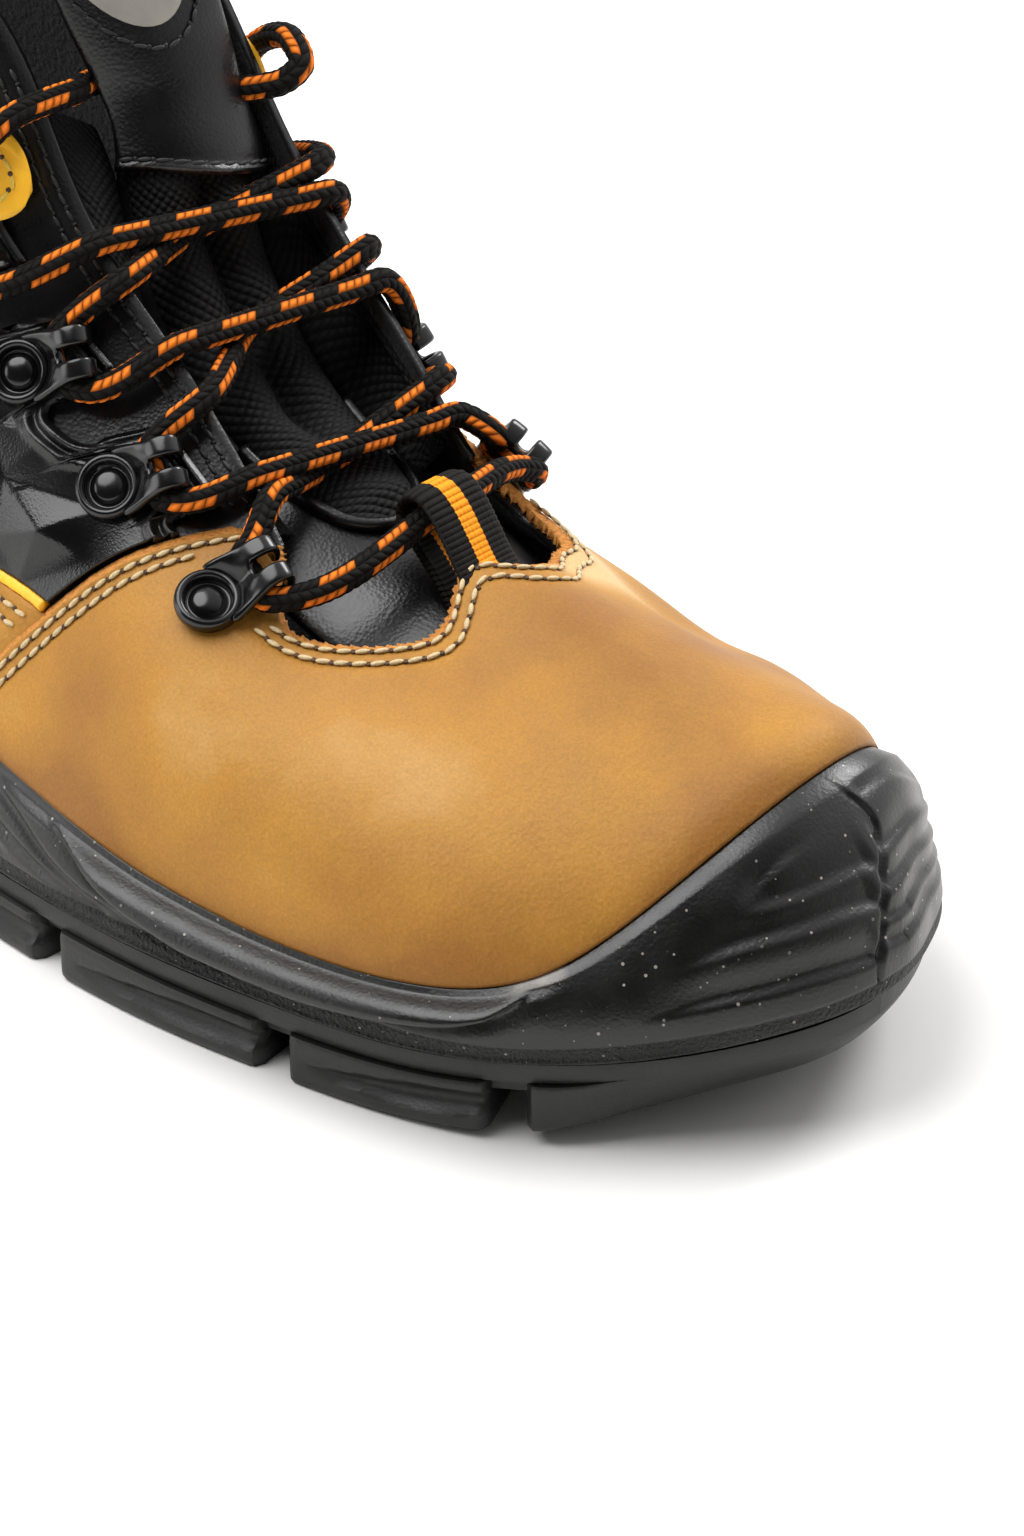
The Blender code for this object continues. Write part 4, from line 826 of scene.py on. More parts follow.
def moulded_foam(tree, shader, colours):
    """Skinned polyurethane foam: satin black with small burst bubbles, dust in a few, a gritty band, a glue mark, and
    painted shade that darkens the bubbles and the parting seam's groove to black.
    """
    place = add(tree, "TexCoord").outputs["Object"]
    # The seam value is a mask of painted shade along the parting seam's groove.
    grit, glue, seam = (add(tree, "Attribute", attribute_name=value).outputs["Fac"]
                        for value in ("grit", "glue", "seam"))
    cloud = add(tree, "TexNoise", {"Vector": place, "Scale": per_mm(9), "Detail": 5.0})
    coarse = add(tree, "TexNoise", {"Vector": place, "Scale": per_mm(0.7), "Detail": 3.0})
    cells = add(tree, "TexVoronoi", {"Vector": place, "Scale": per_mm(1.5)})
    chance = add(tree, "SeparateColor", {"Color": cells.outputs["Color"]}).outputs
    reach = add(tree, "MapRange", {"Value": chance["Green"], **between(0.0, 1.0, 0.05, 0.2)})
    pit = add(tree, "Math", {0: cells, 1: reach}, operation="LESS_THAN")
    dusty = add(tree, "Math", {0: chance["Red"], 1: 0.45}, operation="GREATER_THAN")
    filled = add(tree, "Math", {0: dusty, 1: pit}, operation="MULTIPLY")
    speck = add(tree, "Math", {0: filled, 1: chance["Blue"]}, operation="MULTIPLY")
    pale = add(tree, "Math", {0: speck, 1: glue}, operation="MAXIMUM")
    # Painted shade: the bubbles and the parting seam's groove are darkened towards black.
    painted_shade_mask = add(tree, "Math", {0: seam, 1: pit}, operation="MAXIMUM")
    base = add(tree, "Mix", {"Factor": cloud, "A": rgba(colours.foam, 0.6), "B": rgba(colours.foam, 1.4)},
               data_type="RGBA")
    shaded_foam = add(tree, "Mix", {"Factor": painted_shade_mask, "A": base, "B": rgba(colours.foam, 0.0)}, data_type="RGBA")
    tint = add(tree, "Mix", {"Factor": pale, "A": shaded_foam, "B": rgba(colours.dust)}, data_type="RGBA")
    gloss = add(tree, "MapRange", {"Value": cloud, **between(0.3, 0.7, 0.3, 0.42)})
    rough = add(tree, "Math", {0: grit, 1: 0.25, 2: gloss}, operation="MULTIPLY_ADD")
    sunk = add(tree, "Math", {0: 1.0, 1: pit}, operation="SUBTRACT")
    pitted = add(tree, "Bump", {"Height": sunk, "Strength": 0.9, "Distance": 0.4 * MM})
    skinned = add(tree, "Bump", {"Height": coarse, "Strength": 0.2, "Distance": 0.4 * MM, "Normal": pitted})
    gritty = add(tree, "Bump", {"Height": coarse, "Strength": grit, "Distance": 1.2 * MM, "Normal": skinned})
    feed(tree, shader, {"Base Color": tint, "Roughness": rough, "Normal": gritty, "IOR": 1.53})


def woven_mesh(tree, shader, colour, pitch, roughness=0.75):
    """Coarse nylon mesh: rounded knots in a diagonal net, which the lay of the cloth carries, with painted shade
    darkening the gaps between the knots.
    """
    cloth = add(tree, "Attribute", attribute_name="lay").outputs["Vector"]
    turned = add(tree, "Mapping", {"Vector": cloth, "Rotation": (0.0, 0.0, math.radians(45)),
                                   "Scale": (1.0 / pitch, 1.0 / pitch, 1.0)})
    knots = add(tree, "TexVoronoi", {"Vector": turned, "Scale": 1.0, "Randomness": 0.12}, voronoi_dimensions="2D")
    dome = add(tree, "MapRange", {"Value": knots, **between(0.12, 0.62, 1.0, 0.0)})
    # Painted shade: the gaps between the knots are darker.
    shade = add(tree, "Mix", {"Factor": dome, "A": rgba(colour, 0.3), "B": rgba(colour)}, data_type="RGBA")
    bump = add(tree, "Bump", {"Height": dome, "Strength": 0.9, "Distance": 0.45 * MM})
    feed(tree, shader, {"Base Color": shade, "Normal": bump, "Roughness": roughness, "IOR": 1.35})


def ribbed_yarn(tree, shader, colour, accent):
    """Polyester webbing in two colours, told apart by a value on the mesh, with fine fibre, and painted shade in the
    valleys between its ribs from a second value.
    """
    place = add(tree, "TexCoord").outputs["Object"]
    part, depth = (add(tree, "Attribute", attribute_name=value).outputs["Fac"] for value in ("accent", "crown"))
    sharp = add(tree, "MapRange", {"Value": part, **between(0.4, 0.6)})
    fibre = add(tree, "TexNoise", {"Vector": place, "Scale": per_mm(0.35), "Detail": 3.0})
    base = add(tree, "Mix", {"Factor": sharp, "A": rgba(colour), "B": rgba(accent)}, data_type="RGBA")
    # Painted shade: the crown value darkens the valleys between the ribs.
    dark = add(tree, "MapRange", {"Value": depth, **between(0.0, 1.0, 0.25, 1.1)})
    mixed = add(tree, "Math", {0: fibre, 1: 0.5, 2: 0.72}, operation="MULTIPLY_ADD")
    scale = add(tree, "Math", {0: dark, 1: mixed}, operation="MULTIPLY")
    tinted = add(tree, "VectorMath", {0: base, "Scale": scale}, operation="SCALE")
    bump = add(tree, "Bump", {"Height": fibre, "Strength": 0.5, "Distance": 0.12 * MM})
    feed(tree, shader, {"Base Color": tinted, "Normal": bump, "Roughness": 0.7, "IOR": 1.25})


def braided_yarn(tree, shader, colour, accent):
    """Braided polyester: plump slanted stitches in columns, every other column with bright dashes, and painted shade
    darkening the gaps between stitches.
    """
    weave = add(tree, "Attribute", attribute_name="weave").outputs["Vector"]
    spot = add(tree, "SeparateXYZ", {"Vector": weave}).outputs
    values = {"run": spot["X"], "cosine": spot["Y"], "sine": spot["Z"]}
    steps = [("angle", "ARCTAN2", "sine", "cosine"), ("column", "MULTIPLY", "angle", BRAID_COLUMNS / (2 * math.pi)),
             ("index", "FLOOR", "column"), ("across", "SUBTRACT", "column", "index"),
             ("odd", "FLOORED_MODULO", "index", 2.0), ("lean", "MULTIPLY_ADD", "odd", -2 * BRAID_LEAN, BRAID_LEAN),
             ("slant", "MULTIPLY", "across", "lean"), ("half", "MULTIPLY_ADD", "odd", 0.5, "slant"),
             ("along", "MULTIPLY_ADD", "run", 1 / BRAID_STEP, "half"), ("stitch", "FLOOR", "along"),
             ("part", "SUBTRACT", "along", "stitch"), ("pairs", "MULTIPLY", "index", 0.5), ("pair", "FLOOR", "pairs"),
             ("moved", "MULTIPLY_ADD", "pair", DASH_SHIFT, "stitch"), ("place", "FLOORED_MODULO", "moved", DASH_RUN),
             ("early", "LESS_THAN", "place", DASH_STITCHES), ("even", "SUBTRACT", 1.0, "odd"),
             ("dash", "MULTIPLY", "early", "even"), ("wide", "MULTIPLY", "across", math.pi), ("side", "SINE", "wide"),
             ("long", "MULTIPLY", "part", math.pi), ("end", "SINE", "long"), ("dome", "MULTIPLY", "side", "end"),
             ("crown", "POWER", "dome", 0.55), ("shade", "MULTIPLY_ADD", "crown", 0.95, 0.12)]
    for result, operation, *inputs in steps:
        sockets = {index: values.get(value, value) for index, value in enumerate(inputs)}
        values[result] = add(tree, "Math", sockets, operation=operation)
    # The shade step is painted shade, darkest in the gaps between stitches.
    base = add(tree, "Mix", {"Factor": values["dash"], "A": rgba(colour), "B": rgba(accent)}, data_type="RGBA")
    tinted = add(tree, "VectorMath", {0: base, "Scale": values["shade"]}, operation="SCALE")
    bump = add(tree, "Bump", {"Height": values["crown"], "Strength": 1.0, "Distance": 0.5 * MM})
    feed(tree, shader, {"Base Color": tinted, "Normal": bump, "Roughness": 0.8, "IOR": 1.25})


def spun_thread(tree, shader, colour):
    """Waxed sewing thread: twisted fibre with a soft shine."""
    place = add(tree, "TexCoord").outputs["Object"]
    fibre = add(tree, "TexNoise", {"Vector": place, "Scale": per_mm(0.5), "Detail": 2.0})
    bright = rgba([min(1.0, 1.25 * value) for value in colour])
    shade = add(tree, "Mix", {"Factor": fibre, "A": rgba(colour, 0.55), "B": bright}, data_type="RGBA")
    bump = add(tree, "Bump", {"Height": fibre, "Strength": 0.5, "Distance": 0.15 * MM})
    feed(tree, shader, {"Base Color": shade, "Normal": bump, "Roughness": 0.55})


def fuzzy_lining(tree, shader, colour):
    """Brushed textile lining: dull, with a short nap."""
    place = add(tree, "TexCoord").outputs["Object"]
    nap = add(tree, "TexNoise", {"Vector": place, "Scale": per_mm(1.1), "Detail": 6.0})
    shade = add(tree, "Mix", {"Factor": nap, "A": rgba(colour, 0.4), "B": rgba(colour, 1.6)}, data_type="RGBA")
    bump = add(tree, "Bump", {"Height": nap, "Strength": 0.9, "Distance": 0.7 * MM})
    feed(tree, shader, {"Base Color": shade, "Normal": bump, "Roughness": 0.95, "Sheen Weight": 0.08})


def matt_paper(tree, shader, colour):
    """White studio paper, hardly uneven."""
    place = add(tree, "TexCoord").outputs["Object"]
    cloud = add(tree, "TexNoise", {"Vector": place, "Scale": per_mm(400)})
    shade = add(tree, "Mix", {"Factor": cloud, "A": rgba(colour), "B": rgba(colour, 0.97)}, data_type="RGBA")
    feed(tree, shader, {"Base Color": shade, "Roughness": 0.7})


FINISHES = {}


def finish(maker, name, *values):
    """A material by its name, made once, with its nodes from a maker."""
    if name not in FINISHES:
        material = FINISHES[name] = bpy.data.materials.new(name)
        material.use_nodes = True
        maker(material.node_tree, material.node_tree.nodes["Principled BSDF"], *values)
    return FINISHES[name]


def black_leather(colours):
    return finish(grained, "smooth_black_leather", colours.black_leather, 0.3, 0.7, 0.08)


def moulded_skin(colours):
    return finish(grained, "moulded_coated_leather", colours.moulded, 0.27, 0.45, 0.06)


def tan_finish(colours):
    return finish(tan_leather, "oiled_full_grain_leather", colours)


def raw_finish(colours):
    return finish(raw_leather, "raw_cut_leather", colours.raw_edge)


def black_lining(colours):
    return finish(fuzzy_lining, "brushed_lining", colours.lining)


def yellow_leather(colours):
    return finish(grained, "dyed_yellow_leather", colours.yellow, 0.45, 0.8, 0.1)


# Sole

def sole_line(places):
    """Line of points on the foam's wall from ribs and shares of its height."""
    spots = SmoothTable(places).spread(40 * len(places))
    return sole_wall(spots[:, 0] % RIB_COUNT, spots[:, 1])[0]


def mirrored(places):
    return [(RIB_COUNT - rib, *rest) for rib, *rest in places]


def shingle(rib, height, wall, places, depth, width, low_fade, high_fade):
    """Groove along ribs and shares of the height, easing in from above and sharp below, as overlapping bands give."""
    ribs, heights = SmoothTable(sorted(places)).spread(80).T
    inside = hump(ribs[0], ribs[0] + low_fade, ribs[-1] - high_fade, ribs[-1], rib)
    rise = (height - np.interp(rib, ribs, heights)) * wall
    return -depth * inside * bell(rise, 0.0, np.where(rise > 0, width, 0.2 * width))


def foam_relief(points, rib, height):
    """How far the moulded detail stands out of the foam's wall, and where the wall is gritty, glued and parted, the
    last also a mask for painted shade along the seam.
    """
    wall = np.linalg.norm(sole_wall(rib, 1.0)[0] - sole_wall(rib, 0.0)[0], axis=-1)
    around = np.where(rib > HEEL, rib - RIB_COUNT, rib)
    relief = 0.2 * wobble(points, 30.0, 5)
    for side_rib in (rib, RIB_COUNT - rib):
        edge = np.interp(side_rib, *np.array(ROLL_EDGE).T, left=1.0, right=1.0)
        share = np.clip((height - edge) / np.maximum(1.0 - edge, 0.02), 0.0, 1.0)
        tall = smooth_step(0.0, 0.35, 1.0 - edge)
        relief += np.where(height > edge, ROLL_HEIGHT * tall * np.sin(math.pi * share**0.75) ** 0.75, 0.0)
        below = (height - edge) * wall
        relief -= ROLL_CREASE * tall * bell(below, 0.0, np.where(below > 0, 0.6, 2.8))
    for groove in BUMPER_GROOVES:
        relief += shingle(around, height, wall, *groove)
    for places, depth, width in SIDE_GROOVES:
        for line in (sole_line(places), sole_line(mirrored(places))):
            relief -= depth * closeness(points, line, width)
    parted = closeness(points, sole_line(PARTING_SEAM), SEAM_WIDTH)
    relief -= SEAM_DEPTH * (1.0 + 0.1 * wobble(points, 4.0, 13)) * parted
    beyond = np.interp(height, *np.array(PARTING_SEAM[::-1])[:, ::-1].T) - around
    relief += SEAM_STEP * hump(-0.03, 0.01, 0.8, 1.6, beyond) * smooth_step(0.15, 0.3, height)
    drawn_in = hump(*INNER_TOE_RIBS, -around) * smooth_step(-0.05, 0.3, height)
    relief -= INNER_TOE_INSET * drawn_in * (1 - 0.8 * smooth_step(0.45, 0.9, height))
    rise = points[:, 2] - OUTSOLE_HEIGHT - GAP - spring(points[:, 0])
    band = hump(BAND_LOW - 0.3, BAND_LOW, BAND_HIGH, BAND_HIGH + 0.4, rise)
    relief += 0.3 * bell(rise, BAND_LOW - 0.2, 0.3) - BAND_DEPTH * band
    glue = hump(*GLUE_RIBS, rib) * smooth_step(0.95, 0.98, height)
    return relief, band, glue * (0.6 + 0.4 * wobble(points, 3.0, 14)), parted


def build_midsole(sizes, colours):
    """Foam cup with its long roll, moulded grooves, toe bumper, parting seam and gritty band."""
    inner_levels = [LIP, 0.66, 0.33, FEATHER]
    rows = WALL_ROWS + len(LIP_CROWN) + len(inner_levels)

    def place(up, on):
        rib = np.interp(on, *SOLE_SPREAD)
        row = np.round(up * rows).astype(int)
        height = np.clip((row - 1) / (WALL_ROWS - 1), 0.0, 1.0)
        points, out = sole_wall(rib, WALL_SHARE * height)
        relief, grit, glue, seam = foam_relief(points, rib, WALL_SHARE * height)
        relief *= 1.0 - 0.8 * smooth_step(0.93, 1.0, height)
        rolled = smooth_step(1.9, 2.5, np.minimum(rib, RIB_COUNT - rib))
        points = points + out * (relief - LIP_INSET * rolled * smooth_step(0.84, 1.0, height) ** 2)[:, None]
        under = row == 0
        points[under] -= out[under] * UNDER_INSET
        for step, (rise, stand) in enumerate(LIP_CROWN):
            crown = row == WALL_ROWS + 1 + step
            points[crown] = lifted(rib[crown], lip(rib[crown], rise), stand)
        for step, level in enumerate(inner_levels):
            inside = row == rows - len(inner_levels) + 1 + step
            points[inside] = lifted(rib[inside], level, LIP_GAP)
        points[row == rows, 2] -= FLOOR_GAP
        # The seam value marks where painted shade darkens the parting seam's groove.
        return points, {"grit": grit, "glue": glue, "seam": seam}

    bm = mapped_sheet((rows, SOLE_COLUMNS), place, closed=True)
    close_ends(bm)
    foam = finish(moulded_foam, "skinned_polyurethane_foam", colours)
    add_piece("foam_midsole", bm, [foam], ["midsole"])


def side_ribs():
    """Ribs down each side of the sole, by x, from the heel to the toe."""
    ribs = np.linspace(0.0, HEEL, 600)
    return {side: (plan(r)[::-1, 0], r[::-1]) for side, r in ((-1, ribs), (1, RIB_COUNT - ribs))}


def sole_place(sides, x, across, inset):
    """Points across the sole at an x: share across from the outer edge to the inner one, both drawn in."""
    ends = []
    for side in (-1, 1):
        rib = np.interp(x, *sides[side])
        ends.append(plan(rib) - plan_normal(rib) * inset[..., None])
    return ends[0] + (ends[1] - ends[0]) * across[..., None]


def block(bm, cuts, place):
    """Closed block of a cube, cut along its three sides and mapped from shares of them."""
    corners = bmesh.ops.create_cube(bm, size=1.0)["verts"]
    faces = {face for vert in corners for face in vert.link_faces}
    for axis, count in enumerate(cuts):
        for step in range(1, count):
            way = Vector(np.eye(3)[axis])
            edges = {edge for face in faces for edge in face.edges}
            verts = {vert for face in faces for vert in face.verts}
            cut = bmesh.ops.bisect_plane(bm, geom=[*faces, *edges, *verts], plane_co=way * (step / count - 0.5),
                                         plane_no=way)
            faces = {item for item in cut["geom"] if isinstance(item, bmesh.types.BMFace)}
    verts = list({vert for face in faces for vert in face.verts})
    spots = np.array([vert.co for vert in verts]) + 0.5
    for vert, point in zip(verts, place(spots[:, 0], spots[:, 1], spots[:, 2]) * MM):
        vert.co = point


def rounded(distance):
    """How far a block's face falls back at a distance from its rounded edge."""
    share = np.clip(1 - distance / LUG_ROUND, 0.0, 1.0)
    return LUG_ROUND * (1 - np.sqrt(1 - share**2))


def build_outsole(sizes, colours):
    """Rubber plate with side lugs that carry a scoop, middle lugs and the roofs of the channels between them."""
    sides = side_ribs()
    bm = bmesh.new()

    def plate(along, across, up):
        rib = HEEL * (1 - along)
        inset = np.where(up > 0.5, PLATE_INSET, NOTCH_INSET)
        ends = [plan(r) - plan_normal(r) * inset[:, None] for r in (rib, RIB_COUNT - rib)]
        flat = ends[0] + (ends[1] - ends[0]) * across[:, None]
        z = np.where(up > 0.7, OUTSOLE_HEIGHT, np.where(up > 0.3, LUG_HEIGHT + 0.3, GROOVE_ROOF))
        arch = np.exp(-((flat[:, 0] - WAIST_MIDDLE) / WAIST_REACH) ** 4)
        z = np.where(up < 0.3, z + arch, z)
        return np.concatenate([flat, (z + spring(flat[:, 0]))[:, None]], axis=1)

    def edge_lug(rib, ends, up, deep, depth, cut, lift, joined):
        """Points of a lug along the sole's edge: distance from its ends, share of its height and depth."""
        z = (LUG_HEIGHT + 0.6 * joined) * up
        fall = rounded(z + 0.4) + rounded(LUG_HEIGHT - z + 0.9) * (1 - joined) + rounded(ends)
        stand = LUG_OUT * (1 - joined) - PLATE_INSET * joined - fall - cut
        flat = plan(rib) + plan_normal(rib) * (stand - deep * (depth + stand))[:, None]
        return np.concatenate([flat, (z + lift + spring(flat[:, 0]))[:, None]], axis=1)

    block(bm, (120, 4, 3), plate)
    for rear, front in LUG_SPANS:
        length = front - rear
        at_toe = front > TIP_START

        def side_lug(along, across, up, side):
            rib = np.interp(rear + length * along, *sides[side])
            depth = np.linalg.norm(plan(rib) - plan(RIB_COUNT - rib), axis=1) * SIDE_LUG_SHARE
            leaf = np.sqrt(np.maximum(0.0, 1 - ((1 - along - 0.4) / 0.5) ** 2)) * (0.35 + 0.65 * along)
            share = (up - 0.52 - 0.1 * (along - 0.5)) / np.maximum(0.34 * leaf, 0.01)
            cut = SCOOP_DEPTH * leaf * np.maximum(0.0, 1 - share**2)
            deep = across if side < 0 else 1 - across
            return edge_lug(rib, np.minimum(along, 1 - along) * length, up, deep, depth, cut, 0.0, 0.0)

        def end_lug(along, across, up):
            edge = rear if at_toe else front
            low, high = np.interp(edge, *sides[1]), np.interp(edge, *sides[-1])
            low = low - RIB_COUNT if at_toe else low
            rib = low + (high - low) * along
            tip = smooth_step(*TOE_TIP, plan(rib)[:, 0])
            nicks = 0.5 * np.maximum(0.0, np.sin(along * 75.0 + 2.0 * up)) ** 6 * bell(up, 0.2, 0.2)
            cut = nicks * (1 - tip) + TOE_UNDERCUT * tip * (1 - up) ** 1.4
            ends = np.minimum(along, 1 - along) * END_LUG_RUN
            deep = across if high > low else 1 - across
            lift = TOE_ROCKER * tip * (1 - up)
            return edge_lug(rib, ends, up, deep, END_LUG_DEPTH, cut, lift, smooth_step(0.15, 0.6, tip))

        def middle_lug(along, across, up, low=0.0, shares=MIDDLE_LUG):
            spread = shares[0] + (shares[1] - shares[0]) * across
            start, end = max(rear, MIDDLE_LUG_ENDS[0]), min(front, MIDDLE_LUG_ENDS[1])
            x = start + (end - start) * along
            flat = sole_place(sides, x, spread, np.zeros_like(x))
            z = low + (GROOVE_ROOF + 0.6 - low) * up + spring(flat[:, 0])
            return np.concatenate([flat, z[:, None]], axis=1)

        if at_toe or rear < -TIP_START:
            block(bm, (130, 4, 12), end_lug)
        else:
            for side in (-1, 1):
                block(bm, (48, 4, 12), lambda along, across, up: side_lug(along, across, up, side))
        block(bm, (14, 4, 3), middle_lug)
        block(bm, (14, 6, 2), lambda along, across, up: middle_lug(along, across, up, CHANNEL_ROOF, (0.12, 0.88)))
    bmesh.ops.recalc_face_normals(bm, faces=bm.faces)
    rubber = finish(grained, "moulded_rubber", colours.rubber, 0.46, 0.6, 0.08)
    obj = add_piece("rubber_outsole", bm, [rubber], ["outsole"])
    soften(obj, 0.4)


def build_insole(sizes, colours):
    """Footbed with a low rim, dished under the heel."""

    def place(along, across):
        rib = HEEL * (1 - along)
        step = level_step(rib, FEATHER, FOOTBED_RISE)
        edges = [lifted(r, step, -FOOTBED_INSET) for r in (rib, RIB_COUNT - rib)]
        points = edges[0] + (edges[1] - edges[0]) * across[:, None]
        points[:, 2] -= FOOTBED_DISH * np.sin(math.pi * across) ** 0.7 * smooth_step(0.0, 0.1, along)
        return points, lay(points[:, 0], points[:, 1])

    bm = mapped_sheet((110, 40), place, closed=True, flip=True)
    cloth = finish(woven_mesh, "footbed_cloth", colours.footbed, 1.6, 0.9)
    obj = add_piece("footbed", bm, [cloth], ["insole"])
    thicken(obj, FOOTBED_THICKNESS)


# Upper

def build_upper(sizes, colours):
    """Black leather base with its textile lining, and the padded collar."""

    def place(up, on):
        rib = on * RIB_COUNT
        near = np.where(rib > HEEL, rib - RIB_COUNT, rib)
        under = vamp_top(near) - level_step(rib, 3.85, 2.2)
        level = up * np.where(np.abs(near) < 5.6, np.minimum(under, TOP), TOP)
        cuff = CUFF(rib)
        pad = hump(*CUFF_RIBS, rib)
        share = np.clip((level - cuff) / (TOP - cuff), 0.0, 1.0)
        ripple = np.abs(np.sin(2 * math.pi * share))
        height = CUFF_PADDING * pad * np.where(level > cuff, ripple**0.6, 0.0)
        points = lifted(rib, level, height + 0.15 * wobble(skin(rib, level), 22.0, 8))
        return points, lay(rib * 30.0, level * 30.0)

    bm = mapped_sheet((52, 14 * RIB_COUNT), place, closed=True)
    obj = add_piece("upper_base", bm, [black_leather(colours), black_lining(colours)], ["upper"])
    thicken(obj, 2.0, inner=1)

    ribs = np.linspace(*COLLAR_RIBS, 260)
    line = lifted(ribs, TOP, -1.4) - unit(skin(ribs, TOP) - skin(ribs, TOP - 0.1)) * 2.2
    ends = np.sin(math.pi * np.linspace(0.02, 0.98, len(ribs))) ** 0.35

    def radius_at(run, angle):
        share = run / run.max()
        round_end = np.interp(share, np.linspace(0, 1, len(ends)), ends)
        pinch = 1 + 0.03 * np.sin(run / 5.0)
        return COLLAR_RADIUS * round_end * pinch, lay(run, angle * COLLAR_RADIUS)

    collar = tube_bmesh(line, 28, radius_at)
    pad = add_piece("collar_roll", collar, [black_lining(colours)])


def vamp_rows():
    """Stitch rows of the vamp: along the throat, and along both rear edges."""
    rows = [skin_row(places, 2.25) for places in THROAT_ROWS]
    for distance, top in zip(EDGE_ROWS, (3.72, 3.30)):
        for side in (1, -1):
            levels = np.linspace(1.25, top, 40)
            ribs = side * (VAMP_EDGE - rib_step(side * VAMP_EDGE, levels, distance))
            rows.append(skin_row(np.stack([ribs, levels], axis=-1), 2.25))
    return rows


def leather_tone_and_light(points):
    """How much paler or deeper the tan leather is: partly its own tone, partly painted highlights and painted shade.
    """
    return sum(amount * bell(np.linalg.norm(points - skin(rib, level), axis=1), 0.0, size)
               for rib, level, size, amount in TAN_TONE_AND_LIGHT_PATCHES)


def vamp_top(rib):
    return np.interp(rib, *np.array(VAMP_TOP).T)


def build_vamp(sizes, colours):
    """Tan leather over the toes, with lobes at the throat, frayed raw edges and sewn-down rows."""
    thickness = sizes.vamp_thickness / MM
    rows = vamp_rows()

    def place(up, on):
        side = np.sign(on - 0.5)
        turn = np.abs(on * 2 - 1)
        rear = np.where(turn > 0.92, (1 - turn) / 0.08 * RAW_MARGIN, RAW_MARGIN)
        margin = rib_step(side * VAMP_EDGE, 1.0 + 2.7 * up, RAW_MARGIN)
        rib = side * np.where(turn > 0.92, VAMP_EDGE - margin * rear / RAW_MARGIN, turn / 0.92 * (VAMP_EDGE - margin))
        low = lip(rib, LIP_CLEAR)
        torn = 0.28 * np.sin(rib * 37.0) + 0.2 * np.sin(rib * 93.0 + 1.0) + 0.12 * np.sin(rib * 171.0)
        high = vamp_top(rib) + level_step(rib, vamp_top(rib) - PROBE, torn - 0.4)
        rim = level_step(rib, high - PROBE, RAW_MARGIN)
        level = np.where(up > 0.9, high - rim * (1 - up) / 0.1, low + (high - rim - low) * up / 0.9)
        edge = np.minimum(rear, np.where(up > 0.9, (1 - up) / 0.1 * RAW_MARGIN, RAW_MARGIN))
        base = lifted(rib, level, GAP + thickness)
        fray = 0.5 + 0.5 * wobble(base, 2.2, 11) + 0.4 * wobble(base, 7.0, 12)
        dent = 0.3 * wobble(base, 38.0, 3) + 0.06 * wobble(base, 9.0, 4)
        for row in rows:
            dent -= 0.35 * closeness(base, row[:, :3], 1.0)
        raw = edge < 2.0 + 0.4 * fray
        dent -= np.where(raw, 1.4 * (1 - edge / 2.2) + 0.35 * fray, 0.0)
        # Painted shade, with some dirt, darkens the leather along its lowest edge by the foam's lip; the patches add
        # the leather's own tone with painted highlights and painted shade.
        tone_and_painted_light = leather_tone_and_light(base) - 0.3 * np.exp(-up / 0.035)
        return lifted(rib, level, GAP + thickness + dent), {"tone_and_painted_light": tone_and_painted_light, "raw": raw.astype(float)}

    bm = mapped_sheet((88, 340), place)
    raw = bm.verts.layers.float["raw"]
    for face in bm.faces:
        face.material_index = int(sum(vert[raw] for vert in face.verts) > 1.5)
    obj = add_piece("tan_vamp", bm, [tan_finish(colours), raw_finish(colours)], ["vamp"])
    thicken(obj, thickness, rim=1)


def build_counter(sizes, colours):
    """Tan leather round the heel, sewn along its top, with a yellow piping above it."""
    thickness = sizes.counter_thickness / MM
    start, end = VAMP_EDGE - 0.12, RIB_COUNT - VAMP_EDGE + 0.12

    def counter(up, on):
        rib = start + (end - start) * on
        low = lip(rib, LIP_CLEAR)
        high = PANEL - level_step(rib, PANEL, GAP)
        level = low + (high - low) * up
        base = skin(rib, level)
        under = hump(start, start + 0.2, end - 0.2, end, rib)
        stand = GAP * 0.3 + thickness * (0.15 + 0.85 * under) + 0.2 * wobble(base, 25.0, 6)
        return lifted(rib, level, stand), {"tone_and_painted_light": 0.08 * wobble(base, 40.0, 7) - 0.05}

    bm = mapped_sheet((26, 340), counter)
    obj = add_piece("tan_counter", bm, [tan_finish(colours), raw_finish(colours)], ["counter_panel"])
    thicken(obj, thickness * 0.8, rim=1)

    ribs = np.linspace(VAMP_EDGE + 0.02, RIB_COUNT - VAMP_EDGE - 0.02, 700)
    line = lifted(ribs, PANEL + level_step(ribs, PANEL, 1.0), 1.1)
    piping = tube_bmesh(line, 14, lambda run, angle: (1.15 + 0.04 * np.sin(run * 1.9), {}))
    add_piece("yellow_piping", piping, [yellow_leather(colours)], ["piping"])


def facet_height(rib, level):
    """Height of the moulded facets, flat between their corners."""
    corners = [Vector((r * 1.2, l)) for r, l, _ in FACETS]
    found = delaunay_2d_cdt(corners, [], [], 0, 1e-4)
    verts, faces, sources = found[0], found[2], found[3]
    lifts = [FACETS[source[0]][2] for source in sources]
    height = np.full(len(rib), 0.2)
    spots = np.stack([rib * 1.2, level], axis=-1)
    for face in faces:
        a, b, c = (np.array(verts[index]) for index in face)
        across = np.array([b - a, c - a]).T
        u, v = np.linalg.solve(across, (spots - a).T)
        inside = (u >= -1e-6) & (v >= -1e-6) & (u + v <= 1 + 1e-6)
        lift = [lifts[index] for index in face]
        height = np.where(inside, lift[0] + u * (lift[1] - lift[0]) + v * (lift[2] - lift[0]), height)
    return height


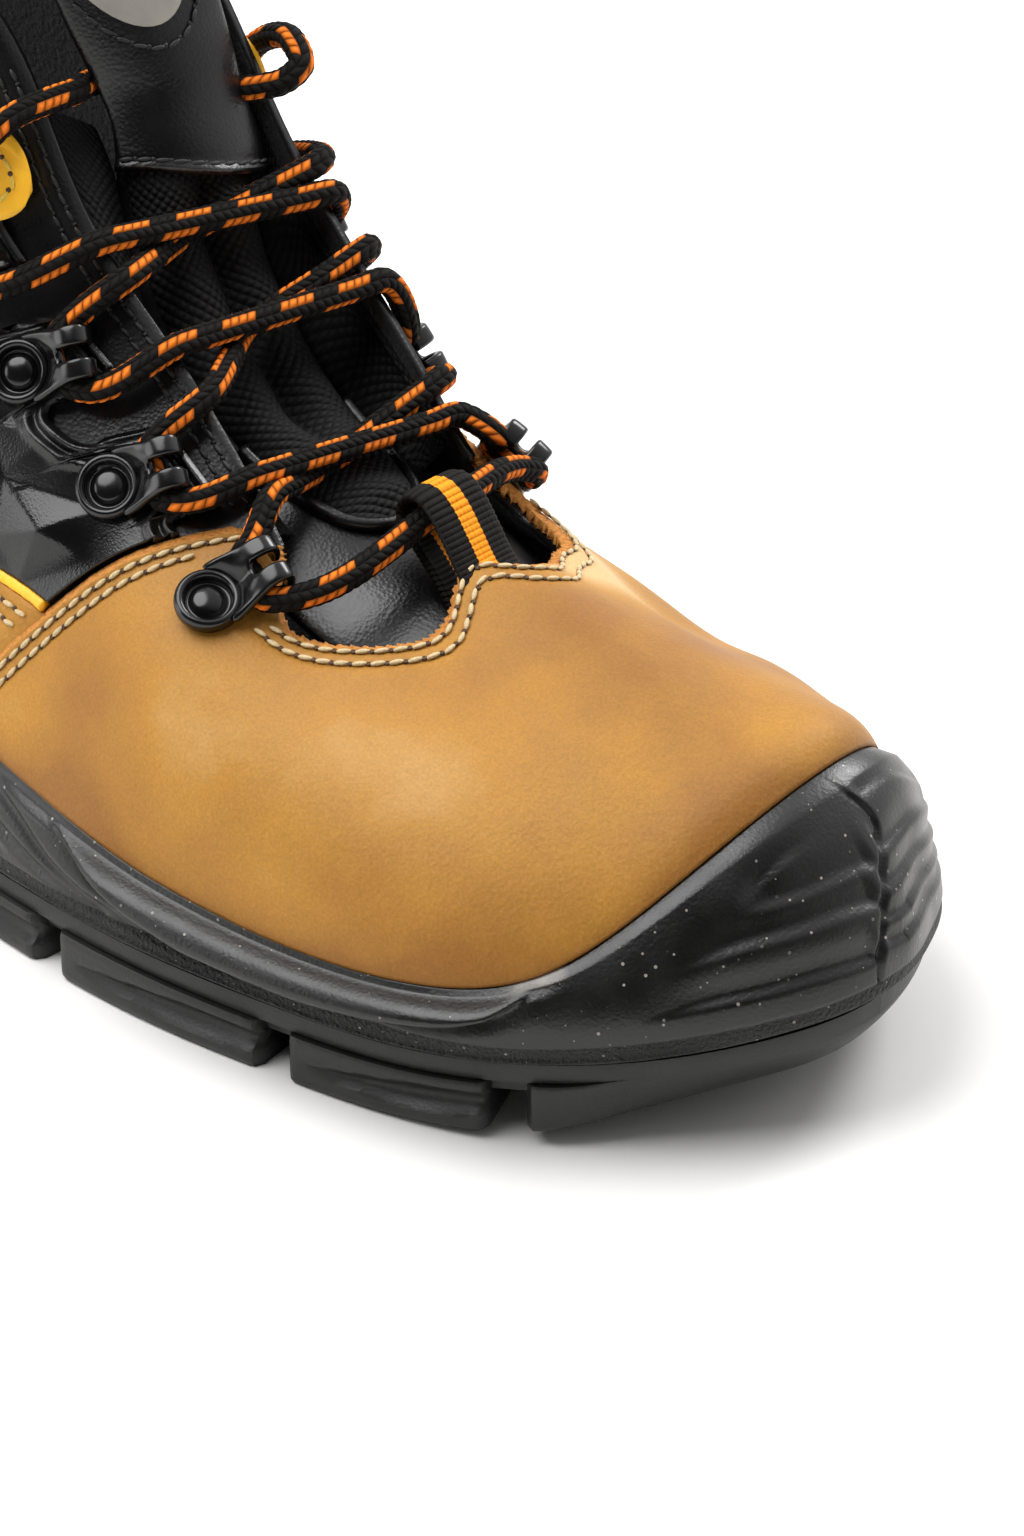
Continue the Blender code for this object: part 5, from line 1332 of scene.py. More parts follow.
def quarter_top(rib):
    """Level of a quarter's front and top edge, with its notches between the hooks."""
    rear = smooth_step(QUARTER_FRONT_END - 0.1, QUARTER_FRONT_END + 0.5, rib)
    top = QUARTER_FRONT * (1 - rear) + CUFF(rib) * rear
    for middle, half, bottom in QUARTER_NOTCHES:
        across = np.clip(np.abs(rib - middle) / half, 0.0, 1.0)
        top -= (QUARTER_FRONT - bottom) * np.sqrt(1 - across**4)
    return top


def build_quarters(sizes, colours):
    """Moulded black panels with facets, a rim along the notched front edge, and the back seam between them."""
    thickness = sizes.quarter_thickness / MM
    seam = float(rib_step(6.0, 2.0, SEAM_GAP))
    front = np.linspace(VAMP_EDGE, HEEL, 1200)
    for side, label in SIDES:
        rim = skin(on_side(front, side), quarter_top(front))

        def place(up, on):
            near = VAMP_EDGE + seam + (HEEL - VAMP_EDGE - 2 * seam) * on**1.15
            rib = on_side(near, side)
            low = PANEL + level_step(rib, PANEL, 2.3)
            level = low + (quarter_top(near) - low) * (1 - (1 - up) ** 1.3)
            base = skin(rib, level)
            edge = distance_to(base, rim, 6.0)
            calm = smooth_step(3.5, 3.25, level) * smooth_step(0.0, 0.08, on)
            stand = thickness + facet_height(near, level) * calm + 0.3 * (1 - calm)
            for height, away, width in QUARTER_RIM:
                stand += height * bell(edge, away, width)
            stand += 0.06 * wobble(base, 12.0, 9)
            return lifted(rib, level, GAP + stand), {}

        bm = mapped_sheet((72, 320), place, flip=side > 0)
        name = f"quarter_{label}"
        obj = add_piece(f"moulded_{name}", bm, [moulded_skin(colours)], [name])
        thicken(obj, thickness)


# Tongue

def tongue_side(share, across):
    """Place across the tongue, whose outer side draws in and whose inner side spreads towards the top."""
    outer = across * (1 - TONGUE_DRAWN_IN * smooth_step(0.62, 0.76, share))
    return np.where(across < 0, outer, across * (1 + TONGUE_SPREAD * smooth_step(0.74, 0.95, share)))


def patch_low(across):
    """Share of the tongue's length at the patch's lower edge."""
    return PATCH_LOW - PATCH_SLANT * smooth_step(-1.0, 1.0, across)


def build_tongue(sizes, colours):
    """Leather tongue base, its padded mesh face and the folded gussets beside it."""

    def base(up, across):
        place = across * 2 - 1
        share = 0.02 + 0.98 * up
        sunk = 3.0 * hump(0.34, 0.46, 0.64, 0.70, share) * bell(place, 0.0, 0.3)
        uneven = 0.12 * wobble(np.stack([share * 200, place * 20, 0 * share], -1), 14.0, 2)
        points = tongue_point(share, tongue_side(share, place), uneven - sunk)
        return points, lay(share * TONGUE_LENGTH, place * TONGUE_HALF)

    bm = mapped_sheet((150, 30), base, flip=True)
    obj = add_piece("tongue_base", bm, [black_leather(colours)], ["tongue"])
    thicken(obj, 3.5)
    soften(obj, 1.0)

    def half_width(share):
        return np.interp(share, (0.23, 0.245, 0.27, 0.32, 0.4, 0.6, 0.7), (0.02, 0.2, 0.33, 0.42, 0.52, 0.72, 0.8))

    def pad(up, across):
        place = across * 2 - 1
        share = 0.232 + 0.47 * up
        crowned = np.sqrt(np.maximum(0.0, 1 - place**2)) * 2.6 * smooth_step(0.0, 0.1, up)
        rolls = 2.6 * np.abs(np.sin(math.pi * (place + 1))) ** 0.7 - 2.2 * bell(place, 0.0, 0.25)
        parted = smooth_step(0.32, 0.44, share) * (1 - 0.7 * smooth_step(0.62, 0.70, share))
        fold = 0.4 * np.sin(share * 70.0 + 3.0 * place) * (1 - place**2)
        points = tongue_point(share, place * half_width(share), 0.3 + crowned * (1 - parted) + rolls * parted + fold)
        return points, lay(share * TONGUE_LENGTH, place * half_width(share) * TONGUE_HALF)

    mesh = finish(woven_mesh, "coarse_nylon_mesh", colours.mesh, sizes.mesh_pitch / MM)
    bm = mapped_sheet((120, 40), pad, flip=True)
    obj = add_piece("tongue_pad", bm, [mesh])

    shares = np.concatenate([np.linspace(0.42, 0.235, 40), np.linspace(0.235, 0.42, 40)[1:]])
    signs = np.concatenate([-np.ones(40), np.ones(39)])
    border = tongue_point(shares, signs * half_width(shares) * 1.02, 1.0)
    roll = tube_bmesh(smooth_path(border[::3], 0.8), 14, lambda run, angle: (np.full(len(run), 1.25), {}))
    add_piece("tongue_pad_roll", roll, [black_leather(colours)])

    for side, label in SIDES:

        def gusset(up, across):
            share = 0.30 + 0.44 * up
            rib = on_side(np.interp(share, (0.30, 0.42, 0.55, 0.66, 0.74), (5.9, 6.6, 7.3, 8.0, 8.45)), side)
            near = tongue_point(share, side * np.interp(share, (0.3, 0.5, 0.74), (0.62, 0.75, 0.9)), -0.5)
            far = lifted(rib, 3.86, -2.6)
            out = unit(skin_normal(rib, 3.9) + (0.6, 0.0, 0.9))
            tall = GUSSET_FOLD * smooth_step(0.0, 0.12, up) * (1 - 0.6 * smooth_step(0.8, 1.0, up))
            creases = 0.7 * np.sin(up * 17.0 + across * 5.0) * np.sin(math.pi * across)
            fold = np.sin(math.pi * across**0.75) ** 0.8 * tall + creases
            points = near + (far - near) * across[:, None] + out * fold[:, None]
            width = np.linalg.norm(far - near, axis=1) + 5.0
            return points, lay(share * TONGUE_LENGTH, across * width)

        bm = mapped_sheet((90, 36), gusset, flip=side > 0)
        obj = add_piece(f"mesh_gusset_{label}", bm, [mesh])
        thicken(obj, 0.8)


def patch_rows():
    """Stitch rows of the tongue's patch: above its lower edge, and round the badge."""
    across = np.linspace(-0.92, 0.9, 60)
    low = np.stack([patch_low(across) + 0.013, tongue_side(patch_low(across), across) * 0.95], axis=-1)
    turn = np.linspace(-math.pi, 0.0, 60)
    badge = np.stack([BADGE_SHARE + 0.125 * np.sin(turn), BADGE_ACROSS + 0.82 * np.cos(turn)], axis=-1)
    rows = []
    for spots, height in ((low, 3.9), (badge, 2.5)):
        rows.append(np.concatenate([tongue_point(*spots.T, height), tongue_frame(*spots.T)[1]], axis=1))
    return rows


def build_patch(sizes, colours):
    """Smooth leather patch on the tongue's upper half, with a plain badge."""

    def place(up, across):
        spot = across * 2 - 1
        share = patch_low(spot) + (0.98 - patch_low(spot)) * up
        crown = 1.5 + 0.8 * np.sqrt(np.maximum(0.0, 1 - spot**2)) + 0.8 * bell(up, 0.02, 0.018)
        crown = crown + 1.4 * (1 - smooth_step(0.04, 0.3, up))
        return tongue_point(share, tongue_side(share, spot) * 0.95, crown), {}

    bm = mapped_sheet((90, 40), place, flip=True)
    obj = add_piece("tongue_leather_patch", bm, [black_leather(colours)], ["tongue_patch"])
    thicken(obj, 1.6)
    soften(obj, 0.4)

    def badge(up, across):
        angle = across * 2 * math.pi
        share = BADGE_SHARE + 0.105 * up * np.sin(angle) * np.where(np.sin(angle) > 0, 0.35, 1.0)
        spot = BADGE_ACROSS + 0.7 * up * np.cos(angle)
        return tongue_point(share, spot, 2.6 + 0.6 * np.sqrt(np.maximum(0.0, 1 - up**4))), {}

    bm = mapped_sheet((10, 48), badge, closed=True)
    bmesh.ops.recalc_face_normals(bm, faces=bm.faces)
    grey = finish(grained, "plain_moulded_badge", colours.badge, 0.5, 0.8, 0.05)
    add_piece("plain_badge", bm, [grey])


# Hooks, lace, loop and tabs

def hook_frame(row, side):
    """Frame of a hook: rivet foot, then the directions of its arms, of its width and outward."""
    rivet_rib, rivet_level, arm_rib, arm_level = HOOKS[row]
    if side > 0:
        rivet_rib, arm_rib = RIB_COUNT - rivet_rib, RIB_COUNT - arm_rib
        rivet_level, arm_level = rivet_level - INNER_HOOK_DROP, arm_level - INNER_HOOK_DROP
    foot = lifted(rivet_rib, rivet_level, HOOK_STANDS[row])
    out = skin_normal((rivet_rib + arm_rib) / 2, (rivet_level + arm_level) / 2)
    arm = skin(arm_rib, arm_level) - skin(rivet_rib, rivet_level)
    arm = unit(arm - out * arm.dot(out))
    return foot, arm, np.cross(out, arm), out


def hook_body():
    """Arms of a hook as a bent plate, slotted to its end, with the rivet at the origin and arms along +X."""
    table = SmoothTable(HOOK_ARMS)
    start = HOOK_ARMS[0][0]

    def place(along, across):
        x, z, half = np.moveaxis(table(along * (len(HOOK_ARMS) - 1)), -1, 0)
        side = across * 2 - 1
        ring = np.sqrt(np.maximum(0.0, HOOK_RING**2 - (side * half * 0.95) ** 2))
        x = x + (ring - start) * (1 - smooth_step(start, HOOK_STRAIGHT, x))
        valley = HOOK_VALLEY * bell(side, 0.0, 0.22) * bell(x, 7.0, 1.8)
        return np.stack([x, side * half, z - 0.3 * side**4 - valley], axis=-1), {}

    bm = mapped_sheet((30, 13), place)
    middles = {face: face.calc_center_median() / MM for face in bm.faces}
    slot = [face for face, middle in middles.items() if abs(middle.y) < HOOK_SLOT_HALF and middle.x > HOOK_SLOT_START]
    bmesh.ops.delete(bm, geom=slot, context="FACES")
    bmesh.ops.recalc_face_normals(bm, faces=bm.faces)
    bmesh.ops.solidify(bm, geom=bm.faces, thickness=HOOK_WALL * MM)
    return bm


def hook_mesh():
    """One whole hook, smoothed: round base with its rivet, and the arms."""
    arms = put_in("hook_arms", new_mesh("hook_arms", hook_body()))
    surface = arms.modifiers.new("smooth", "SUBSURF")
    surface.levels = surface.render_levels = 1
    bpy.context.view_layer.update()
    bm = bmesh.new()
    bm.from_object(arms, bpy.context.evaluated_depsgraph_get())
    bpy.data.objects.remove(arms)
    turned = bmesh.new()
    profile = [turned.verts.new((radius * MM, 0.0, height * MM)) for radius, height in HOOK_BASE]
    edges = [turned.edges.new(pair) for pair in zip(profile, profile[1:])]
    bmesh.ops.spin(turned, geom=profile + edges, cent=(0, 0, 0), axis=(0, 0, 1), angle=2 * math.pi, steps=44,
                   use_merge=True)
    bmesh.ops.remove_doubles(turned, verts=turned.verts, dist=MERGE * MM)
    close_ends(turned)
    bmesh.ops.recalc_face_normals(turned, faces=turned.faces)
    base = new_mesh("hook_base", turned)
    bm.from_mesh(base)
    bpy.data.meshes.remove(base)
    return new_mesh("hook_whole", bm)


def build_hooks(sizes, colours):
    """Four moulded hooks on each side of the throat."""
    plastic = finish(grained, "gloss_moulded_nylon", colours.plastic, 0.2, 1.4, 0.015)
    whole = hook_mesh()
    for side, label in SIDES:
        for row in range(len(HOOKS)):
            foot, arm, width, out = hook_frame(row, side)
            bm = bmesh.new()
            bm.from_mesh(whole)
            turn = Matrix(np.array((arm, width, out)).T).to_4x4()
            bmesh.ops.transform(bm, matrix=Matrix.Translation(Vector(foot) * MM) @ turn, verts=bm.verts)
            name = f"hook_{label}_{row + 1}"
            add_piece(f"moulded_{name}", bm, [plastic], [name])
    bpy.data.meshes.remove(whole)


def lace_port(row, side, end):
    """Points of the lace from the middle of a hook out at its toe side, with end 1, or its heel side, with end -1."""
    foot, arm, width, out = hook_frame(row, side)
    way = (width if width[0] > 0 else -width) * end
    middle = foot + arm * LACE_REACH + out * LACE_LIFT
    port = middle + way * LACE_CLEAR
    if side > 0:
        return [middle, port, port + arm * (LACE_TURN + LACE_BEND)]
    return [middle, port, port + way * LACE_BEND + arm * LACE_TURN + out * LACE_RISE]


def hook_pass(row, side, toeward):
    """Points of the lace through a hook, leaving at its toe side, with toeward 1, or its heel side, with -1."""
    return lace_port(row, side, -toeward)[:0:-1] + lace_port(row, side, toeward)


def over_edge(rib):
    """Point of the lace where it rides over the throat's edge."""
    up = unit(skin(rib, TOP) - skin(rib, TOP - 0.1))
    over, out = OVER_INNER_EDGE if rib > HEEL else OVER_OUTER_EDGE
    return skin(rib, TOP) + (over * up + out * skin_normal(rib, TOP)) * LACE_OVER


def strand(row, over):
    """Points of a strand over a crossing from the outer edge to the inner one, under the top strand or as it."""
    start, end = (over_edge(rib) for rib in (TOP_STRANDS[row][0], RIB_COUNT - TOP_STRANDS[row][1]))
    spot = start + (end - start) * CROSSING_SHARE
    if over:
        middle = spot
    else:
        start, end = (over_edge(rib) for rib in (LOW_STRANDS[row][0], RIB_COUNT - LOW_STRANDS[row][1]))
        middle = spot - unit(np.array(THROAT_OUT)) * LACE_APART
    ease = [edge + unit(middle - edge) * LACE_EASE for edge in (start, end)]
    return [start, ease[0], middle, ease[1], end]


def lace_route():
    """Points of the lace from the top outer hook, down its crossings, over the bar and up to the top inner hook."""
    route = hook_pass(3, -1, 1)[1:] + strand(2, True) + hook_pass(2, 1, 1) + strand(1, False)[::-1]
    route += hook_pass(1, -1, 1) + strand(0, True) + hook_pass(0, 1, 1)
    route += [np.array(BAR_OVER) + FRAME_SHIFT, np.array(BAR_MIDDLE) + FRAME_SHIFT] + hook_pass(0, -1, -1)
    route += strand(0, False) + hook_pass(1, 1, -1) + strand(1, True)[::-1] + hook_pass(2, -1, -1)
    return route + strand(2, False) + hook_pass(3, 1, -1)[:-1]


def braided(radius, start=0.0):
    """Radius of a braided lace, with the run along it and the way round it for its yarn."""

    def radius_at(run, angle):
        column = angle / (2 * math.pi) * BRAID_COLUMNS
        across = column - np.floor(column)
        odd = np.floor(column) % 2
        along = (run + start) / BRAID_STEP + BRAID_LEAN * (1 - 2 * odd) * across + 0.5 * odd
        crown = np.sqrt(np.sin(math.pi * across) * np.sin(math.pi * (along - np.floor(along))))
        weave = np.stack([run + start, np.cos(angle), np.sin(angle)], axis=-1)
        return radius - BRAID_DEPTH * (1 - crown), {"weave": weave}

    return radius_at


def build_lace(sizes, colours):
    """Braided lace through all the hooks, and its two ends that tuck in beside the tongue."""
    radius = sizes.lace_diameter / MM / 2
    braid = finish(braided_yarn, "braided_polyester", colours.lace, colours.lace_dash)
    line = smooth_path(lace_route(), LACE_RING)
    nodes = ["lace_bar"] + [f"lace_crossing_{row + 1}" for row in range(len(TOP_STRANDS))]
    add_piece("braided_lace", tube_bmesh(line, LACE_SIDES, braided(radius)), [braid], nodes)
    for side, label in SIDES:
        points = [lace_port(3, side, -1)[1]] + [np.array(point) + FRAME_SHIFT for point in LACE_ENDS[side]]
        line = smooth_path(points, LACE_RING)
        name = f"lace_end_{label}"
        end = add_piece(f"braided_{name}", tube_bmesh(line, LACE_SIDES, braided(radius, 6.0)), [braid], [name])


def build_loop(sizes, colours):
    """Ribbed webbing loop from the vamp's point over the lace's bar, black with a bright stripe."""
    half = sizes.webbing_width / MM / 2
    line = smooth_path(LOOP_PATH, 0.1)
    run = run_along(line)

    def place(along, across):
        at = along * run[-1]
        x, z = (np.interp(at, run, column) for column in line.T)
        way = unit(np.stack([np.interp(at, run, np.gradient(column)) for column in line.T], axis=-1))
        middle = np.interp(x, LOOP_SKEW[:2], LOOP_SKEW[2:])
        side = across * 2 - 1
        rib = np.abs(np.sin(math.pi * at / LOOP_RIB_PITCH))
        crown = rib * (0.75 + 0.25 * np.abs(np.sin(across * 40.0)))
        lift = 1.0 + 0.45 * crown - 0.5 * side**8
        out = np.stack([way[:, 1], -way[:, 0]], axis=-1)
        points = np.stack([x + out[:, 0] * lift, middle + side * half, z + out[:, 1] * lift], axis=-1)
        stripe = hump(-0.34, -0.30, 0.28, 0.32, side)
        # The crown value carries painted shade, darkest in the valleys between the ribs.
        return points + FRAME_SHIFT, {"accent": stripe, "crown": 0.35 + 0.65 * crown}

    bm = mapped_sheet((int(run[-1] / LOOP_RIB_PITCH * 4), 36), place)
    web = finish(ribbed_yarn, "grosgrain_webbing", colours.lace, colours.webbing_stripe)
    obj = add_piece("grosgrain_loop", bm, [web], ["webbing_loop"])
    thicken(obj, sizes.webbing_thickness / MM)


def tab_spot(along, across, side):
    """Rib and level of a point of a tab."""
    low_tip, high_tip, high_rear, low_rear = (np.array(corner) for corner in TAB_CORNERS)
    cut = 0.49 * (1 - np.sqrt(1 - np.maximum(0.0, 1.0 - along / TAB_TIP_LENGTH) ** 2))
    spread = cut + (1 - 2 * cut) * across
    tip = low_tip + (high_tip - low_tip) * spread[:, None]
    rear = low_rear + (high_rear - low_rear) * spread[:, None]
    rib, level = (tip + (rear - tip) * along[:, None]).T
    return on_side(rib, side), level


def build_tabs(sizes, colours):
    """Yellow leather tab beside the upper lacing on each quarter."""
    for side, label in SIDES:

        def place(along, across):
            rib, level = tab_spot(along, across, side)
            edge = np.minimum(np.minimum(across, 1 - across) * 14, np.minimum(along, 1 - along) * 26)
            stand = TAB_LIFT + TAB_THICKNESS + 0.35 * smooth_step(0.0, 1.6, edge) - 0.2 * bell(edge, 2.2, 0.7)
            return lifted(rib, level, stand), {}

        bm = mapped_sheet((60, 40), place, flip=side < 0)
        obj = add_piece(f"yellow_tab_{label}", bm, [yellow_leather(colours)], [f"tab_{label}"])
        thicken(obj, TAB_THICKNESS)


def tab_row(side):
    """Stitch row round a tab, inside its edge."""
    rib, level = tab_spot(*SmoothTable(TAB_ROW).spread(160).T, side)
    return np.concatenate([lifted(rib, level, TAB_LIFT + 1.6), skin_normal(rib, level)], axis=1)


def sew(name, rows, sizes, thread, hole, width=1.0):
    """Stitches along rows, with the needle's hole at each of their ends, drawn as a dark disc of painted shade."""
    pitch, length, thick = (value / MM for value in (sizes.stitch_pitch, sizes.stitch_length, sizes.thread))
    add_piece(f"{name}_stitches", stitches_bmesh([evenly(row, pitch) for row in rows], length, thick * width),
              [thread])
    # Needle holes: dark discs of painted shade, sunk a little into the surface
    bm = bmesh.new()
    for row in rows:
        spots = evenly(row, pitch)
        for spot in (spots[1:] + spots[:-1]) / 2:
            out = Vector(spot[3:6])
            place = Matrix.Translation((Vector(spot[:3]) - 0.12 * out.normalized()) * MM)
            turn = out.to_track_quat("Z", "Y").to_matrix().to_4x4()
            bmesh.ops.create_cone(bm, cap_ends=True, segments=8, radius1=0.55 * thick * MM, radius2=0.45 * thick * MM,
                                  depth=0.25 * MM, matrix=place @ turn)
    add_piece(f"{name}_needle_hole_shades", bm, [hole])


def build_stitching(sizes, colours):
    """Sewn rows: pale thread on the tan leather, black thread on the black, yellow thread on the tabs."""
    pale = vamp_rows()
    ribs = np.linspace(VAMP_EDGE + 0.03, RIB_COUNT - VAMP_EDGE - 0.03, 60)
    for distance in (2.8, 5.5):
        levels = PANEL - level_step(ribs, PANEL, distance)
        pale.append(skin_row(np.stack([ribs, levels], axis=-1), 1.9))
    # Needle holes on the tan and yellow leather are painted shade in dark brown.
    tan_hole_shade = finish(spun_thread, "tan_needle_hole_shade", colours.needle_hole)
    sew("pale", pale, sizes, finish(spun_thread, "pale_waxed_thread", colours.thread), tan_hole_shade)

    black = []
    for side in (-1, 1):
        for distance in (2.6, 5.2):
            rib = on_side(np.linspace(6.15, 8.5, 50), side)
            levels = TOP - level_step(rib, 3.9, distance)
            black.append(skin_row(np.stack([rib, levels], axis=-1), 0.25))
    for shift in (-0.07, 0.07):
        levels = np.linspace(2.1, 3.3, 30)
        black.append(skin_row(np.stack([HEEL + shift + 0 * levels, levels], axis=-1), 1.9))
    # Needle holes on the black leather are painted shade, darker than the thread.
    dark = finish(spun_thread, "black_needle_hole_shade", tuple(0.2 * value for value in colours.black_thread))
    sew("black", black + patch_rows(), sizes, finish(spun_thread, "black_waxed_thread", colours.black_thread), dark,
        0.9)
    gold = finish(spun_thread, "yellow_waxed_thread", colours.yellow_thread)
    sew("yellow", [tab_row(side) for side in (-1, 1)], sizes, gold, tan_hole_shade, 0.8)


# Stage

def aim(obj, place, way):
    """Puts a light or a camera at a place, looking along a direction."""
    obj.location = place
    obj.rotation_mode = "QUATERNION"
    obj.rotation_quaternion = way.to_track_quat("-Z", "Y")


def soft_light(name, place, size, power):
    """Large round light that faces the shoe."""
    light = bpy.data.lights.new(name, "AREA")
    light.shape = "DISK"
    light.size = size
    light.energy = power
    aim(put_in(name, light), Vector(place), Vector(LIGHT_TARGET) - Vector(place))


def build_stage(sizes, colours):
    """Pale floor, soft studio light and the camera."""
    scene = bpy.context.scene
    bm = bmesh.new()
    bmesh.ops.create_grid(bm, x_segments=8, y_segments=8, size=FLOOR_HALF)
    floor = put_in("floor", new_mesh("floor", bm))
    floor.data.materials.append(finish(matt_paper, "matt_white_paper", colours.floor))

    world = bpy.data.worlds.new("studio")
    scene.world = world
    world.use_nodes = True
    tree = world.node_tree
    way = add(tree, "TexCoord").outputs["Generated"]
    behind = add(tree, "VectorMath", {0: way, 1: SKY_WAY}, operation="DOT_PRODUCT")
    glow = add(tree, "MapRange", {"Value": behind, **between(*SKY_RANGE, *SKY_GLOW)})
    feed(tree, tree.nodes["Background"], {"Color": (1.0, 1.0, 1.0, 1.0), "Strength": glow})
    for light in SOFT_LIGHTS:
        soft_light(*light)
    camera = bpy.data.cameras.new("camera")
    camera.lens = CAMERA_LENS
    camera.sensor_width = CAMERA_SENSOR
    camera.clip_start, camera.clip_end = CAMERA_CLIP
    azimuth, elevation = math.radians(CAMERA_AZIMUTH), math.radians(CAMERA_ELEVATION)
    back = Vector((math.sin(azimuth) * math.cos(elevation), -math.cos(azimuth) * math.cos(elevation),
                   math.sin(elevation)))
    target = Vector(np.array(CAMERA_TARGET) + FRAME_SHIFT) * MM
    scene.camera = put_in("camera", camera)
    aim(scene.camera, target + back * CAMERA_DISTANCE * MM, -back)
    scene.view_settings.view_transform = "Standard"


# Add-on

def length_property(name, description, default_mm):
    return FloatProperty(name=name, description=description, default=default_mm * MM, min=0.0, unit="LENGTH",
                         subtype="DISTANCE", precision=4)


def colour_property(name, description, hex_colour):
    return FloatVectorProperty(name=name, description=description, default=linear(hex_colour), size=3, min=0.0,
                               max=1.0, subtype="COLOR")


class ShoeSizes(bpy.types.PropertyGroup):
    """Sizes of the leather, thread, lace and cloth."""

    vamp_thickness: length_property("Vamp leather", "Thickness of the tan leather over the toes", 1.8)
    counter_thickness: length_property("Counter leather", "Thickness of the tan leather round the heel", 1.6)
    quarter_thickness: length_property("Quarter skin", "Thickness of the moulded side panels", 1.4)
    lace_diameter: length_property("Lace", "Diameter of the braided lace", 4.8)
    webbing_width: length_property("Webbing width", "Width of the ribbed loop", 11.8)
    webbing_thickness: length_property("Webbing thickness", "Thickness of the ribbed loop", 1.4)
    mesh_pitch: length_property("Mesh pitch", "Distance between the knots of the nylon mesh", 1.5)
    stitch_pitch: length_property("Stitch pitch", "Distance from one stitch to the next", 3.15)
    stitch_length: length_property("Stitch length", "Length of thread that shows in a stitch", 2.6)
    thread: length_property("Thread", "Thickness of the sewing thread", 0.95)


class ShoeColours(bpy.types.PropertyGroup):
    """Colours of the shoe's finishes."""

    tan: colour_property("Tan leather", "Main colour of the oiled leather", "#B27E2E")
    # Top of the ramp: paler leather, and painted highlights
    tan_pale_and_highlight: colour_property("Pale tan", "Paler leather, and painted highlights", "#D2AC74")
    # Bottom of the ramp: deeper leather, and painted shade in hollows and along the low edge
    tan_deep_and_shade: colour_property("Deep tan", "Deeper leather, and painted shade in its hollows and along its low edge", "#946224")
    raw_edge: colour_property("Raw edge", "Cut edge of the tan leather", "#C98438")
    black_leather: colour_property("Black leather", "Smooth leather of the base and the patch", "#0D0D0E")
    moulded: colour_property("Moulded panel", "Coated leather of the quarters", "#0A0A0B")
    foam: colour_property("Foam", "Skin of the foam midsole", "#070706")
    rubber: colour_property("Rubber", "Rubber of the outsole", "#151514")
    dust: colour_property("Dust", "Pale dust in the foam's bubbles", "#A09A92")
    plastic: colour_property("Hooks", "Nylon of the lace hooks", "#0C0C0D")
    lace: colour_property("Lace", "Dark yarn of lace and webbing", "#151311")
    lace_dash: colour_property("Lace dashes", "Bright yarn in the lace", "#F58025")
    webbing_stripe: colour_property("Webbing stripe", "Middle stripe of the loop", "#F59A1F")
    mesh: colour_property("Mesh", "Nylon mesh of tongue and gussets", "#131313")
    lining: colour_property("Lining", "Brushed lining and collar", "#121212")
    footbed: colour_property("Footbed", "Cloth of the footbed", "#2E2E2E")
    yellow: colour_property("Yellow leather", "Tabs and piping", "#FFBE24")
    badge: colour_property("Badge", "Plain badge on the tongue", "#9A968E")
    thread: colour_property("Pale thread", "Thread on the tan leather", "#D2BC90")
    black_thread: colour_property("Black thread", "Thread on the black leather", "#1C1C1C")
    # Colour of the painted shade in the needle holes
    needle_hole: colour_property("Needle holes", "Holes of the needle in the tan leather", "#4A2E12")
    yellow_thread: colour_property("Yellow thread", "Thread on the tabs", "#F3CC57")
    floor: colour_property("Floor", "Paper under the shoe", "#F7F6F4")


def made(build, scene):
    """Result of an operator that makes a piece, or a group of them, from the scene's sizes and colours."""
    build(scene.shoe_sizes, scene.shoe_colours)
    return {"FINISHED"}


class SHOE_OT_outsole(bpy.types.Operator):
    """Makes the rubber plate and its lugs."""

    bl_idname = "shoe.outsole"
    bl_label = "Outsole"

    def execute(self, context):
        return made(build_outsole, context.scene)


class SHOE_OT_midsole(bpy.types.Operator):
    """Makes the foam midsole with its bumper."""

    bl_idname = "shoe.midsole"
    bl_label = "Midsole"

    def execute(self, context):
        return made(build_midsole, context.scene)


class SHOE_OT_insole(bpy.types.Operator):
    """Makes the footbed."""

    bl_idname = "shoe.insole"
    bl_label = "Insole"

    def execute(self, context):
        return made(build_insole, context.scene)


class SHOE_OT_upper(bpy.types.Operator):
    """Makes the leather base, the lining and the collar."""

    bl_idname = "shoe.upper"
    bl_label = "Upper"

    def execute(self, context):
        return made(build_upper, context.scene)


class SHOE_OT_vamp(bpy.types.Operator):
    """Makes the tan leather over the toes."""

    bl_idname = "shoe.vamp"
    bl_label = "Vamp"

    def execute(self, context):
        return made(build_vamp, context.scene)


class SHOE_OT_counter(bpy.types.Operator):
    """Makes the tan leather round the heel and its piping."""

    bl_idname = "shoe.counter"
    bl_label = "Counter"

    def execute(self, context):
        return made(build_counter, context.scene)


class SHOE_OT_quarters(bpy.types.Operator):
    """Makes the two moulded side panels."""

    bl_idname = "shoe.quarters"
    bl_label = "Quarters"

    def execute(self, context):
        return made(build_quarters, context.scene)


class SHOE_OT_tongue(bpy.types.Operator):
    """Makes the tongue, its mesh pad and its gussets."""

    bl_idname = "shoe.tongue"
    bl_label = "Tongue"

    def execute(self, context):
        return made(build_tongue, context.scene)


class SHOE_OT_patch(bpy.types.Operator):
    """Makes the leather patch and its badge."""

    bl_idname = "shoe.patch"
    bl_label = "Tongue patch"

    def execute(self, context):
        return made(build_patch, context.scene)


class SHOE_OT_hooks(bpy.types.Operator):
    """Makes the eight lace hooks."""

    bl_idname = "shoe.hooks"
    bl_label = "Hooks"

    def execute(self, context):
        return made(build_hooks, context.scene)


class SHOE_OT_lace(bpy.types.Operator):
    """Makes the lace and its two ends."""

    bl_idname = "shoe.lace"
    bl_label = "Lace"

    def execute(self, context):
        return made(build_lace, context.scene)


